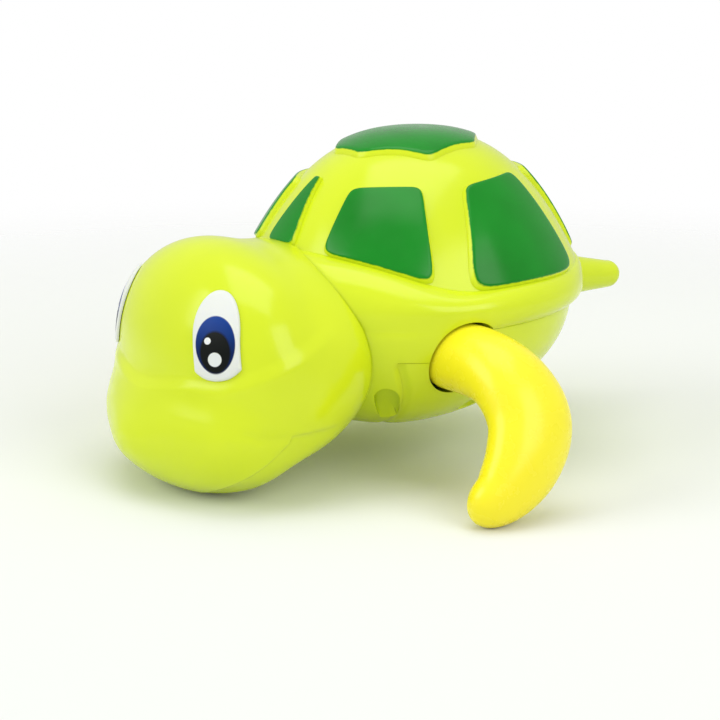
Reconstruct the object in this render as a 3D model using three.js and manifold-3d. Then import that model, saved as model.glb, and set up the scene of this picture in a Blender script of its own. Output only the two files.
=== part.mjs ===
// A wind-up bath toy: a sea turtle that swims with two turning flippers.
// Millimetres, +Z up, nose towards -Y, the toy's left side towards +X.
// The origin lies on the ground under the middle of the toy.
import * as THREE from 'three';
import { mergeVertices } from 'three/addons/utils/BufferGeometryUtils.js';
import Module from 'manifold-3d';

const wasm = await Module();
wasm.setup();

// Clearances
const seamGap = 0.3; // between two mouldings that meet
const seatGap = 0.15; // between a piece and the seat that holds it fast
const runGap = 0.2; // radial play of a turning shaft
const flipperHoleGap = 1.5; // round the flipper root where it leaves the body

// Dome and rim of the shell
const shellTop = 68.93;
const shellWall = 1.8;
const domeMiddle = 6.2;
const domeFullness = 2.65;
const creaseHalfWidth = 34.5;
const creaseHalfLength = 34.2;
const creaseHeight = 43.5;
const creaseNoseRise = 2.2;
const creaseSaddle = 1.9;
const creaseDip = 2.2; // the crease runs lower over each flipper
const creaseDipMiddle = 68; // degrees from the nose
const creaseDipSpread = 20;
const rimMiddle = 2.6;
const rimFlareWidth = 3.5;
const rimFlareLength = 5;
const rimHalfWidth = creaseHalfWidth + rimFlareWidth;
const rimHalfLength = creaseHalfLength + rimFlareLength;
const rimHeight = 37;
const tailReach = 65;
const tailHeight = 32.3;
const tailRootRise = 2;
const tailRootRadius = 5.9;
const tailTipRadius = 3.2;
const tailTipRound = [[0.6, 0.8], [0.9, 0.44]]; // forward and radial shares of the tip radius

// Scutes, angles in degrees from the nose round the dome
const scuteProud = 1.1;
const scuteRoot = 0.7;
const scuteBevel = 0.055;
const scuteSquareness = 8;
const scuteInnerRing = 0.5;
const scuteHalf = 9; // about half the width of a side scute
const scuteFootShare = 0.999;
const frontScute = { top: [-1.5, 1.5], foot: [-8, 8], topShares: [0.71, 0.71] };
const pairedScutes = [
  { top: [23.5, 56.5], foot: [21, 60.3], topShares: [0.74, 0.675] },
  { top: [77.5, 115], foot: [72.5, 124], topShares: [0.66, 0.615] },
  { top: [139, 171], foot: [146, 174.5], topShares: [0.64, 0.64] },
];
// Right corners of the crown scute from its front to its back
const crownCorners = [[4.75, -11.6], [15.4, -1.8], [13.3, 11.2], [4.7, 18.4]];

// Belly and chest: one round bowl with a flat bottom
const bellyBottom = 10;
const bellyWidestHeight = 33.9;
const bellySink = 2.4; // how far under the flat the round would end
const bellyDepth = bellyWidestHeight - bellyBottom + bellySink;
const bellyMiddle = -3.9;
const bellyTuckSide = 1.8; // how far the bowl lies inside the rim
const bellyTuckBack = 1.4;
const bellyTuckFront = 1.6;
const bellyHalfWidth = rimHalfWidth - bellyTuckSide;
const bellyBackLength = rimMiddle + rimHalfLength - bellyTuckBack - bellyMiddle;
const bellyFrontLength = bellyMiddle - (rimMiddle - rimHalfLength) - bellyTuckFront;
const rearSeamHeight = 33; // joint line behind the flipper hole
const frontSeamHeight = 27.3; // joint line in front of it
const chestBackAtSeam = -20.3; // the belly cover starts here, the chest is part of the upper shell
const chestBackAtBottom = -11.8;

// Arched pocket low on each side of the chest, its floor meets the bowl at the pocket's foot
const pocketHalfWidth = 2.55;
const pocketTop = 21.5;
const pocketFoot = 14.2;
const pocketAzimuth = 53; // degrees from the nose
const pocketMiddle = [23.87, -18.04];
const pocketFloorAtFoot = 25.1; // distance from the middle of the toy along the azimuth
const pocketFloorAtTop = 29.7;
const pocketWall = 1.4;

// Head, its four lobes as shares of the head's half sizes from its middle
const headWall = 2;
const headSharpness = 7;
const headMiddleY = -40;
const headMiddleZ = 24;
const headHalfWidth = 25.3;
const headHalfLength = 21.2;
const headHalfHeight = 21.3;
const headLobeShares = [
  { name: 'cranium', middle: [0, -0.152, 0.224], half: [1.166, 0.757, 1.001] },
  { name: 'muzzle', middle: [0, -0.262, -0.5], half: [1.16, 0.8075, 0.6108] },
  { name: 'nape', middle: [0, 0.48, 0.193], half: [1.133, 0.727, 0.939] },
  { name: 'jaw', middle: [0, -0.333, -0.586], half: [0.602, 0.778, 0.349] },
];
const headBossSpread = 9;
const headBossZ = 29;
const headBossRadius = 4;
const headPad = 3; // thickness of the pads inside the chest under the head screws

// Eyes, their middle as shares of the head's half sizes
const eyeShares = [0.776, -0.672, 0.538];
const eyeTilt = new THREE.Vector3(0.452, -0.843, 0.292);
const eyeLean = 8.7; // degrees that the plates lean towards each other
const eyeHalfWidth = 5.05;
const eyeRise = 8.7;
const eyeDrop = 8.6;
const eyeProud = 0.6;
const eyeFootSquareness = 0.6; // under 1 makes the lower half squarer than an ellipse
const eyeRings = [0.66, 0.33];

// Flippers and their axle
const axleY = -6.5;
const axleZ = 27.5;
const axleRadius = 2;
const axleHalfLength = 36;
const axleRoundHalf = 17;
const flipperRootRadius = 7;
const flipperRootStart = 30;
const farFlipperTurn = 108; // degrees that the right flipper stands behind the left one
const flipperSpread = 24.8;
const flipperSweep = 11.1;
const flipperDrop = 24;
const flipperHalfBreadth = 9;
const flipperHalfThickness = 7;
// Stations of a flipper as shares: spread, forward sweep, drop, half breadth, half thickness
const flipperStations = [
  [0.403, 0, 0, 0.8, 1],
  [0.677, -0.117, 0.104, 0.911, 0.943],
  [0.883, -0.207, 0.375, 1, 0.886],
  [0.976, 0.135, 0.675, 0.911, 0.829],
  [1, 0.622, 0.8875, 0.622, 0.657],
  [0.984, 1, 1, 0.378, 0.471],
];
const flipperTipRound = [[0.5, 0.866], [0.866, 0.5]]; // forward and radial shares of the tip

// Gear train, every axle runs along X
const gearModule = 0.9;
const meshPlay = 0.12;
const toothFoot = 1.15; // depth below the pitch circle, in modules
const toothHead = 0.85;
const toothFootShare = 0.3; // half the tooth's width at its foot, in pitches
const toothHeadShare = 0.11;
const pinionTeeth = 14;
const springTeeth = 27;
const governorWheelTeeth = 18;
const governorPinionTeeth = 8;
const springRise = 8; // height of the spring arbor over the flipper axle
const arborRadius = 2;
const governorShaftRadius = 1.2;
const fanRadius = 5;
const fanWidth = 5;
const wheelThickness = 3;
const pinionExtra = 1;
const springWidth = 8;
const springStrip = 0.5;
const springTurns = 4;
const springOuter = 11;
const trainGap = 2; // side clearance between neighbours along the axles

// Motor case
const caseHalf = 13; // half width along X
const caseWall = 1.6;
const caseFront = -20.4;
const caseBack = 25.6;
const caseBottom = 16.6;
const caseTop = 51;
const caseCorner = 7;
const coverThickness = 1.7;
const caseBossInset = 4;
const frontScrewDrop = 4; // the front upper screw sits lower, under the slope of the dome
const rearScrewRise = 3; // the rear lower screw sits higher, over the slope of the belly
const caseBossRadius = 2.6;
const earY = 10.2;
const earX = 18;
const earZ = 21.3;
const earThickness = 2;
const earHalf = 3.2;
const bushWall = 1.1;
const bushFlange = 1;
const bushFlangeWidth = 1.2;

// Screws
const screwRadius = 1.1;
const screwHeadRadius = 2.5;
const screwHeadHeight = 1.5;
const screwHeadTop = 0.7; // share of the head's radius that is flat
const screwHeadSide = 0.6; // share of the head's height that is straight
const screwLength = 10;
const mountScrewLength = 6;
const postRadius = 3;
const postFrontX = 24;
const postFrontY = 3;
const postRearX = 19.5;
const postRearY = 18;
const wellTop = 20;
const wellRoof = 2.4;
const wellWall = 1.4;

// Facet counts
const roundSides = 16;
const holeSides = 12;
const screwSides = 8;
const hexagon = 6;
const scuteSides = 24;
const eyeSides = 20;
const flipperSides = 16;
const flipperSteps = 15;
const tailSteps = 4;
const springStepsPerTurn = 14;
const halvings = 40; // steps of the search for the head's surface
const skin = {
  sides: 36,
  dome: [0.22, 0.42, 0.58, 0.71, 0.82, 0.91, 1],
  roll: [0.3, 0.6, 1],
  under: [0.5, 1],
  bowl: [0.16, 0.32, 0.48, 0.64, 0.82, 1],
  headLevels: 19,
};
const hollow = {
  sides: 24,
  dome: [0.3, 0.55, 0.8, 1],
  roll: [0.5, 1],
  under: [1],
  bowl: [0.2, 0.4, 0.6, 0.8, 1],
  headLevels: 11,
};

// Materials
function plastic(colour, roughness) {
  return new THREE.MeshStandardMaterial({ color: colour, roughness, metalness: 0 });
}

function metal(colour, roughness) {
  return new THREE.MeshStandardMaterial({ color: colour, roughness, metalness: 1 });
}

const limePlastic = plastic('#d3ea2f', 0.25);
const yellowPlastic = plastic('#fff02e', 0.3);
const eyePlastic = plastic('#eef3ea', 0.2);
const casePlastic = plastic('#e6e6e0', 0.45);
const gearPlastic = plastic('#f4f1e6', 0.4);
const steel = metal('#b9bcc0', 0.35);
const springSteel = metal('#7f868c', 0.3);
const brass = metal('#c9a24a', 0.35);

const toy = new THREE.Group();

// Solids

// A closed solid from a three.js geometry whose faces point out.
function solidOf(geometry) {
  const bare = geometry.clone();
  bare.deleteAttribute('normal');
  bare.deleteAttribute('uv');
  const merged = mergeVertices(bare, 1e-4);
  return new wasm.Manifold(new wasm.Mesh({
    numProp: 3,
    vertProperties: new Float32Array(merged.attributes.position.array),
    triVerts: new Uint32Array(merged.index.array),
  }));
}

// Adds one named piece of the toy, from a geometry or from a solid.
function addPiece(name, shape, material) {
  let geometry = shape;
  if (!shape.isBufferGeometry) {
    const mesh = shape.getMesh();
    geometry = new THREE.BufferGeometry();
    geometry.setAttribute('position', new THREE.BufferAttribute(new Float32Array(mesh.vertProperties), 3));
    geometry.setIndex(new THREE.BufferAttribute(new Uint32Array(mesh.triVerts), 1));
  }
  const piece = new THREE.Mesh(geometry, material);
  piece.name = name;
  toy.add(piece);
}

// A skin over rings of points with as many points each, closed by a pole at both ends.
function loft(rings, firstPole, lastPole) {
  const sides = rings[0].length;
  const points = [firstPole, ...rings.flat(), lastPole];
  const faces = [];
  const at = (ring, side) => 1 + ring * sides + (side % sides);
  for (let side = 0; side < sides; side += 1) {
    faces.push(0, at(0, side), at(0, side + 1));
    faces.push(points.length - 1, at(rings.length - 1, side + 1), at(rings.length - 1, side));
    for (let ring = 0; ring + 1 < rings.length; ring += 1) {
      faces.push(at(ring, side), at(ring + 1, side), at(ring + 1, side + 1));
      faces.push(at(ring, side), at(ring + 1, side + 1), at(ring, side + 1));
    }
  }
  let volume = 0;
  for (let i = 0; i < faces.length; i += 3) {
    const [a, b, c] = [points[faces[i]], points[faces[i + 1]], points[faces[i + 2]]];
    volume += a.dot(b.clone().cross(c));
  }
  if (volume < 0) faces.reverse();
  const geometry = new THREE.BufferGeometry().setFromPoints(points);
  geometry.setIndex(faces);
  return geometry;
}

function middleOf(points) {
  const sum = points.reduce((total, point) => total.add(point), new THREE.Vector3());
  return sum.divideScalar(points.length);
}

// A round or many-sided bar along one axis, from one end to the other.
function bar(axis, radius, from, to, first, second, sides = roundSides) {
  const geometry = new THREE.CylinderGeometry(radius, radius, to - from, sides);
  const middle = (from + to) / 2;
  if (axis === 'x') {
    geometry.rotateZ(-Math.PI / 2);
    return geometry.translate(middle, first, second);
  }
  if (axis === 'y') return geometry.translate(first, middle, second);
  geometry.rotateX(Math.PI / 2);
  return geometry.translate(first, second, middle);
}

function barSolid(...settings) {
  return solidOf(bar(...settings));
}

function box(low, high) {
  const size = high.map((value, i) => value - low[i]);
  const middle = high.map((value, i) => (value + low[i]) / 2);
  return solidOf(new THREE.BoxGeometry(...size).translate(...middle));
}

// A flat outline in the plane of the gears, thickened along X.
const acrossBasis = new THREE.Matrix4().makeBasis(
  new THREE.Vector3(0, 1, 0),
  new THREE.Vector3(0, 0, 1),
  new THREE.Vector3(1, 0, 0),
);

function slab(shape, from, to) {
  const settings = { depth: to - from, bevelEnabled: false, curveSegments: 4 };
  const geometry = new THREE.ExtrudeGeometry(shape, settings);
  return geometry.applyMatrix4(acrossBasis).translate(from, 0, 0);
}

// Body form

const turn = 2 * Math.PI;
const underTurn = Math.PI / 3;

const { lerp, degToRad, radToDeg } = THREE.MathUtils;

function ellipseRadius(halfWidth, halfLength, angle) {
  return 1 / Math.hypot(Math.sin(angle) / halfWidth, Math.cos(angle) / halfLength);
}

function around(angle, radius, middle, height) {
  return new THREE.Vector3(radius * Math.sin(angle), middle - radius * Math.cos(angle), height);
}

function creaseAt(angle) {
  const fromNose = radToDeg(Math.acos(Math.cos(angle)));
  const fromDip = (fromNose - creaseDipMiddle) / creaseDipSpread;
  const wave = creaseNoseRise * Math.cos(angle) + creaseSaddle * Math.cos(2 * angle);
  return creaseHeight + wave - creaseDip * Math.exp(-fromDip * fromDip);
}

function domeAt(angle, share, grow = 0) {
  const radius = share * (ellipseRadius(creaseHalfWidth, creaseHalfLength, angle) + grow);
  const foot = creaseAt(angle) + grow;
  const height = foot + (shellTop + grow - foot) * (1 - share ** domeFullness);
  return around(angle, radius, domeMiddle, height);
}

function rollAt(angle, share, grow) {
  const arc = share * Math.PI / 2;
  const crease = ellipseRadius(creaseHalfWidth, creaseHalfLength, angle) + grow;
  const rim = ellipseRadius(rimHalfWidth, rimHalfLength, angle) + grow;
  const middle = domeMiddle + (rimMiddle - domeMiddle) * Math.sin(arc);
  const height = rimHeight + (creaseAt(angle) + grow - rimHeight) * Math.cos(arc);
  return around(angle, crease + (rim - crease) * Math.sin(arc), middle, height);
}

// From the rim down and in to the bowl, by a part of a quarter turn.
function underAt(angle, share, grow) {
  const arc = share * underTurn;
  const inward = (1 - Math.cos(arc)) / (1 - Math.cos(underTurn));
  const down = Math.sin(arc) / Math.sin(underTurn);
  const rim = rollAt(angle, 1, grow);
  const foot = bowlAt(angle, 0, grow);
  const height = rim.z + (foot.z - rim.z) * down;
  return rim.lerp(foot, inward).setZ(height);
}

function bowlRadius(angle, grow) {
  const length = Math.cos(angle) > 0 ? bellyFrontLength : bellyBackLength;
  return ellipseRadius(bellyHalfWidth + grow, length + grow, angle);
}

// The bowl from the level of the rear seam down to the edge of its flat bottom.
function bowlAt(angle, share, grow) {
  const arcAt = (height) => Math.asin((bellyWidestHeight - height) / (bellyDepth + grow));
  const first = arcAt(rearSeamHeight);
  const last = arcAt(bellyBottom - grow);
  const arc = first + (last - first) * share;
  const height = bellyWidestHeight - (bellyDepth + grow) * Math.sin(arc);
  return around(angle, bowlRadius(angle, grow) * Math.cos(arc), bellyMiddle, height);
}

function ringOf(sides, pointAt) {
  return Array.from({ length: sides }, (_, i) => pointAt(turn * i / sides));
}

// The whole body with the chest, grown or shrunk evenly.
function bodyForm(grow, { sides, dome, roll, under, bowl }) {
  const rings = dome.map((share) => ringOf(sides, (angle) => domeAt(angle, share, grow)));
  roll.forEach((share) => rings.push(ringOf(sides, (angle) => rollAt(angle, share, grow))));
  under.forEach((share) => rings.push(ringOf(sides, (angle) => underAt(angle, share, grow))));
  bowl.forEach((share) => rings.push(ringOf(sides, (angle) => bowlAt(angle, share, grow))));
  const foot = new THREE.Vector3(0, bellyMiddle, bellyBottom - grow);
  return solidOf(loft(rings, new THREE.Vector3(0, domeMiddle, shellTop + grow), foot));
}

// The bowl of the belly cover, open upwards to the level of the rim.
function bellyForm(grow, { sides, bowl }) {
  const rings = [ringOf(sides, (angle) => bowlAt(angle, 0, grow).setZ(rimHeight))];
  [0, ...bowl].forEach((share) => rings.push(ringOf(sides, (angle) => bowlAt(angle, share, grow))));
  const roof = new THREE.Vector3(0, bellyMiddle, rimHeight);
  return solidOf(loft(rings, roof, new THREE.Vector3(0, bellyMiddle, bellyBottom - grow)));
}

// The room of the belly cover: under the seam, which steps up at the axle, and behind the chest.
function bellyRoom(gap) {
  const front = chestBackAtSeam - gap;
  const foot = chestBackAtBottom - gap;
  const back = 2 * rimHalfLength;
  const outline = [
    [front, frontSeamHeight + gap],
    [foot, bellyBottom],
    [foot, 0],
    [back, 0],
    [back, rearSeamHeight + gap],
    [axleY, rearSeamHeight + gap],
    [axleY, frontSeamHeight + gap],
  ];
  const room = new THREE.Shape(outline.map(([y, z]) => new THREE.Vector2(y, z)));
  return solidOf(slab(room, -2 * rimHalfWidth, 2 * rimHalfWidth));
}

// Raised scutes

const normalStep = 0.01;

function domeNormal(angle, share) {
  const across = domeAt(angle + normalStep, share).sub(domeAt(angle - normalStep, share));
  const down = domeAt(angle, share + normalStep).sub(domeAt(angle, share - normalStep));
  return down.cross(across).normalize();
}

// A scute over an outline that runs once round as its share goes from 0 to 1, grown by a clearance.
function scuteSolid(pointAt, grow = 0) {
  const wider = grow / scuteHalf;
  const loop = (size, lift) => Array.from(
    { length: scuteSides },
    (_, i) => pointAt(i / scuteSides, size, lift),
  );
  const rings = [
    loop(scuteInnerRing, -scuteRoot),
    loop(1 + scuteBevel + wider, -scuteRoot),
    loop(1 - scuteBevel + wider, scuteProud + grow),
    loop(scuteInnerRing, scuteProud + grow),
  ];
  return solidOf(loft(rings, pointAt(0, 0, -scuteRoot), pointAt(0, 0, scuteProud + grow)));
}

function lifted(angle, share, lift) {
  return domeAt(angle, share).addScaledVector(domeNormal(angle, share), lift);
}

// Four-sided scute with soft corners on the side of the dome.
function sideScute({ top, foot, topShares }, side, grow = 0) {
  return scuteSolid((along, size, lift) => {
    const [across, down] = [side * Math.cos(turn * along), Math.sin(turn * along)];
    const corner = Math.abs(across) ** scuteSquareness + Math.abs(down) ** scuteSquareness;
    const reach = size * corner ** (-1 / scuteSquareness) / 2;
    const [u, v] = [0.5 + reach * across, 0.5 + reach * down];
    const degrees = lerp(lerp(top[0], foot[0], v), lerp(top[1], foot[1], v), u);
    const share = lerp(lerp(...topShares, u), scuteFootShare, v);
    return lifted(side * degToRad(degrees), share, lift);
  }, grow);
}

// Eight-sided scute on top of the dome.
function crownScute() {
  const otherCorners = crownCorners.map(([x, y]) => [-x, y]).reverse();
  const corners = [...crownCorners, ...otherCorners].map(([x, y]) => new THREE.Vector2(x, y));
  const centre = new THREE.Vector2(0, (corners[0].y + corners[crownCorners.length].y) / 2);
  return scuteSolid((along, size, lift) => {
    const edge = Math.floor(along * corners.length);
    const next = corners[(edge + 1) % corners.length];
    const onEdge = corners[edge].clone().lerp(next, along * corners.length - edge);
    const { x, y } = centre.clone().lerp(onEdge, size);
    const angle = Math.atan2(x, domeMiddle - y);
    const radius = Math.hypot(x, domeMiddle - y);
    const share = radius / ellipseRadius(creaseHalfWidth, creaseHalfLength, angle);
    return lifted(angle, Math.max(share, 2 * normalStep), lift);
  });
}


// The tail from inside the rim to its round tip, lying close behind the belly cover.
function tailSolid() {
  const rootY = rimMiddle + rimHalfLength - 2 * shellWall;
  const tipY = tailReach - tailTipRadius;
  const ringAt = (y, radius, height) => ringOf(holeSides, (angle) => new THREE.Vector3(
    radius * Math.cos(angle),
    y,
    height + radius * Math.sin(angle),
  ));
  const rings = Array.from({ length: tailSteps + 1 }, (_, step) => {
    const left = 1 - step / tailSteps;
    const radius = tailTipRadius + (tailRootRadius - tailTipRadius) * left;
    return ringAt(tipY + (rootY - tipY) * left, radius, tailHeight + tailRootRise * left);
  });
  tailTipRound.forEach(([forward, radial]) => {
    rings.push(ringAt(tipY + forward * tailTipRadius, radial * tailTipRadius, tailHeight));
  });
  const tip = new THREE.Vector3(0, tailReach, tailHeight);
  return solidOf(loft(rings, middleOf(rings[0]), tip)).subtract(bellyForm(seamGap, skin));
}

// A bar with an arched outline that runs outwards from the pocket's slanting floor.
function pocketBar(side, grow) {
  const azimuth = degToRad(pocketAzimuth);
  const out = new THREE.Vector3(Math.sin(azimuth), -Math.cos(azimuth), 0);
  const along = new THREE.Vector3(Math.cos(azimuth), Math.sin(azimuth), 0);
  const offset = new THREE.Vector3(...pocketMiddle, 0).dot(along);
  const radius = pocketHalfWidth + grow;
  const archMiddle = pocketTop - pocketHalfWidth;
  const floorAt = (height) => {
    const rise = (height - pocketFoot) / (pocketTop - pocketFoot);
    return lerp(pocketFloorAtFoot, pocketFloorAtTop, rise) - grow;
  };
  const pointAt = (angle, distanceAt) => {
    const low = archMiddle - pocketFoot + radius;
    const height = archMiddle + Math.sin(angle) * (Math.sin(angle) > 0 ? radius : low);
    const point = out.clone().multiplyScalar(distanceAt(height));
    point.addScaledVector(along, offset + radius * Math.cos(angle)).setZ(height);
    return new THREE.Vector3(side * point.x, point.y, point.z);
  };
  const rings = [floorAt, () => 2 * rimHalfWidth].map(
    (distanceAt) => ringOf(roundSides, (angle) => pointAt(side * angle, distanceAt)),
  );
  return solidOf(loft(rings, middleOf(rings[0]), middleOf(rings[1])));
}

// Flipper holes through both sides of the body.
function cutFlipperHoles(solid) {
  const radius = flipperRootRadius + flipperHoleGap;
  const from = flipperRootStart - 2 * flipperHoleGap;
  const left = barSolid('x', radius, from, 2 * rimHalfWidth, axleY, axleZ);
  const right = barSolid('x', radius, -2 * rimHalfWidth, -from, axleY, axleZ);
  return solid.subtract(left).subtract(right);
}

const postPlaces = [
  [postFrontX, postFrontY],
  [-postFrontX, postFrontY],
  [postRearX, postRearY],
  [-postRearX, postRearY],
];
const postFoot = wellTop + wellRoof + seamGap;
const screwHole = screwRadius + seatGap;
const headBossPlaces = [headBossSpread, -headBossSpread];
const chestFront = bellyMiddle - bellyFrontLength * Math.sqrt(
  1 - (headBossSpread / bellyHalfWidth) ** 2 - ((bellyWidestHeight - headBossZ) / bellyDepth) ** 2,
);

function upperShell() {
  const inner = bodyForm(-shellWall, hollow);
  const within = bodyForm(-shellWall / 2, hollow);
  let shell = bodyForm(0, skin).add(crownScute()).add(sideScute(frontScute, 1));
  pairedScutes.forEach((field) => {
    shell = shell.add(sideScute(field, 1)).add(sideScute(field, -1));
  });
  shell = shell.subtract(inner);
  [1, -1].forEach((side) => {
    const pad = pocketBar(side, pocketWall).intersect(within);
    shell = shell.add(pad).subtract(pocketBar(side, 0));
  });
  headBossPlaces.forEach((x) => {
    const [from, to] = [chestFront - headPad, chestFront + shellWall + headPad];
    shell = shell.add(barSolid('y', headBossRadius, from, to, x, headBossZ).intersect(within));
  });
  shell = shell.subtract(bellyRoom(seamGap)).add(tailSolid());
  postPlaces.forEach(([x, y]) => {
    shell = shell.add(barSolid('z', postRadius, postFoot, shellTop, x, y, holeSides).intersect(within));
    shell = shell.subtract(barSolid('z', screwHole, 0, postFoot + screwLength, x, y, holeSides));
  });
  headBossPlaces.forEach((x) => {
    const hole = barSolid('y', screwHole, 2 * chestFront, chestFront + 3 * headPad, x, headBossZ, holeSides);
    shell = shell.subtract(hole);
  });
  return cutFlipperHoles(shell);
}

const earBossTop = earZ - seamGap;
const earScrewTip = earZ + earThickness - mountScrewLength;

function bellyShell() {
  const within = bellyForm(-shellWall / 2, hollow);
  const outer = bellyForm(0, skin);
  let shell = outer.intersect(bellyRoom(0)).subtract(bellyForm(-shellWall, hollow));
  postPlaces.forEach(([x, y]) => {
    const wellRadius = screwHeadRadius + seamGap;
    const boss = barSolid('z', wellRadius + wellWall, 0, wellTop + wellRoof, x, y, roundSides);
    shell = shell.add(boss.intersect(within));
    shell = shell.subtract(barSolid('z', wellRadius, 0, wellTop, x, y, roundSides));
    shell = shell.subtract(barSolid('z', screwHole, 0, wellTop + 2 * wellRoof, x, y, holeSides));
  });
  [earX, -earX].forEach((x) => {
    shell = shell.add(barSolid('z', postRadius, 0, earBossTop, x, earY, holeSides).intersect(within));
    const hole = barSolid('z', screwHole, earScrewTip - seatGap, caseTop, x, earY, holeSides);
    shell = shell.subtract(hole);
  });
  return cutFlipperHoles(shell);
}

// Head

const headCore = new THREE.Vector3(0, headMiddleY, headMiddleZ);
const headHalf = new THREE.Vector3(headHalfWidth, headHalfLength, headHalfHeight);
const inHead = (shares) => new THREE.Vector3(...shares).multiply(headHalf);
const headLobes = headLobeShares.map(({ middle, half }) => ({
  middle: inHead(middle).add(headCore),
  half: inHead(half),
}));

// Over 1 inside the head, 1 on its surface: a soft union of its four lobes.
function headField(point) {
  return headLobes.reduce((sum, { middle, half }) => {
    const ratio = point.clone().sub(middle).divide(half).length();
    return sum + Math.max(ratio, 1e-3) ** -headSharpness;
  }, 0);
}

// Distance from a point inside the head to its surface along a direction.
function headReach(from, direction) {
  let near = 0;
  let far = 2 * rimHalfWidth;
  for (let i = 0; i < halvings; i += 1) {
    const middle = (near + far) / 2;
    if (headField(from.clone().addScaledVector(direction, middle)) > 1) near = middle;
    else far = middle;
  }
  return near;
}

function headForm(inset, { sides, headLevels }) {
  const pole = (sign) => {
    const direction = new THREE.Vector3(0, sign, 0);
    return headCore.clone().addScaledVector(direction, headReach(headCore, direction) - inset);
  };
  const rings = Array.from({ length: headLevels }, (_, level) => {
    const polar = Math.PI * (level + 1) / (headLevels + 1);
    return ringOf(sides, (angle) => {
      const direction = new THREE.Vector3(
        Math.sin(polar) * Math.cos(angle),
        -Math.cos(polar),
        Math.sin(polar) * Math.sin(angle),
      );
      return headCore.clone().addScaledVector(direction, headReach(headCore, direction) - inset);
    });
  });
  return solidOf(loft(rings, pole(-1), pole(1)));
}

const headBossFront = headMiddleY - headHalfLength;

function headShell() {
  const within = headForm(headWall / 2, hollow);
  let head = headForm(0, skin).subtract(headForm(headWall, hollow));
  headBossPlaces.forEach((x) => {
    const boss = barSolid('y', headBossRadius, headBossFront, domeMiddle, x, headBossZ);
    head = head.add(boss.intersect(within));
  });
  head = head.subtract(bodyForm(seamGap, skin)).subtract(sideScute(frontScute, 1, seamGap));
  [1, -1].forEach((side) => {
    head = head.subtract(sideScute(pairedScutes[0], side, seamGap));
  });
  headBossPlaces.forEach((x) => {
    const tip = chestFront - screwLength;
    head = head.subtract(barSolid('y', screwHole, tip, domeMiddle, x, headBossZ, holeSides));
  });
  return head;
}

// Eye plates on the cranium

function eyePlate(side) {
  const out = eyeTilt.clone().normalize();
  const along = new THREE.Vector3(-out.y, out.x, 0).normalize().applyAxisAngle(out, degToRad(eyeLean));
  const up = out.clone().cross(along);
  const start = inHead(eyeShares).add(headCore).addScaledVector(out, -eyeRise);
  const pointAt = (angle, size, lift) => {
    const [across, over] = [Math.cos(angle), Math.sin(angle)];
    const squareness = over > 0 ? 1 : eyeFootSquareness;
    const u = size * eyeHalfWidth * Math.sign(across) * Math.abs(across) ** squareness;
    const v = size * (over > 0 ? eyeRise : eyeDrop) * over;
    const inside = start.clone().addScaledVector(along, u).addScaledVector(up, v);
    const point = inside.addScaledVector(out, headReach(inside, out) + lift);
    return new THREE.Vector3(side * point.x, point.y, point.z);
  };
  const loop = (size, lift) => ringOf(eyeSides, (angle) => pointAt(angle, size, lift));
  const crown = eyeProud + seatGap;
  const rings = [
    loop(eyeRings[0], seatGap),
    loop(1, seatGap),
    loop(1, eyeProud),
    ...eyeRings.map((size) => loop(size, crown)),
  ];
  return loft(rings, pointAt(0, 0, seatGap), pointAt(0, 0, crown));
}

// Flippers

// A curve through points whose pull is even along its length.
function throughPoints(points) {
  return new THREE.CatmullRomCurve3(points, false, 'catmullrom', 0.5);
}

function flipperForm(side) {
  const rootBreadth = flipperRootRadius / flipperHalfBreadth;
  const rootThickness = flipperRootRadius / flipperHalfThickness;
  const stations = [[0, 0, 0, rootBreadth, rootThickness], ...flipperStations];
  const path = throughPoints(stations.map(([spread, sweep, drop]) => new THREE.Vector3(
    side * (flipperRootStart + flipperSpread * spread),
    axleY - flipperSweep * sweep,
    axleZ - flipperDrop * drop,
  )));
  const section = throughPoints(stations.map(([, , , breadth, thickness]) => new THREE.Vector3(
    flipperHalfBreadth * breadth,
    flipperHalfThickness * thickness,
    0,
  )));
  const wide = new THREE.Vector3(0, 1, 0);
  const ringAt = (share, forward, shrink) => {
    const middle = path.getPoint(share);
    const along = path.getTangent(share);
    const across = wide.clone().addScaledVector(along, -wide.dot(along)).normalize();
    const over = along.clone().cross(across);
    const { x: breadth, y: thickness } = section.getPoint(share);
    return ringOf(flipperSides, (angle) => middle.clone()
      .addScaledVector(along, forward * thickness)
      .addScaledVector(across, shrink * breadth * Math.cos(angle))
      .addScaledVector(over, shrink * thickness * Math.sin(angle)));
  };
  const rings = Array.from({ length: flipperSteps + 1 }, (_, i) => ringAt(i / flipperSteps, 0, 1));
  flipperTipRound.forEach(([forward, radial]) => rings.push(ringAt(1, forward, radial)));
  const tip = path.getPoint(1).addScaledVector(path.getTangent(1), section.getPoint(1).y);
  return loft(rings, middleOf(rings[0]), tip);
}

// A flipper on the hexagon end of the axle, turned about the axle.
function flipper(side, degrees) {
  const form = flipperForm(side).translate(0, -axleY, -axleZ);
  form.rotateX(degToRad(degrees)).translate(0, axleY, axleZ);
  const socketEnd = axleHalfLength + seatGap;
  const socket = barSolid('x', axleRadius + seatGap, -socketEnd, socketEnd, axleY, axleZ, hexagon);
  return solidOf(form).subtract(socket);
}

function axleSolid() {
  const round = barSolid('x', axleRadius, -axleRoundHalf, axleRoundHalf, axleY, axleZ);
  const ends = barSolid('x', axleRadius, -axleHalfLength, axleHalfLength, axleY, axleZ, hexagon);
  return round.add(ends);
}

// Gear train

const pitchRadius = (teeth) => teeth * gearModule / 2;
const springDistance = pitchRadius(pinionTeeth + springTeeth) + meshPlay;
const governorDistance = pitchRadius(governorWheelTeeth + governorPinionTeeth) + meshPlay;
const springZ = axleZ + springRise;
const springY = axleY + Math.sqrt(springDistance ** 2 - springRise ** 2);
const governorY = axleY;
const governorZ = axleZ + governorDistance;
const springAngle = Math.atan2(springZ - axleZ, springY - axleY);
const governorAngle = Math.atan2(governorZ - axleZ, governorY - axleY);

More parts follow.
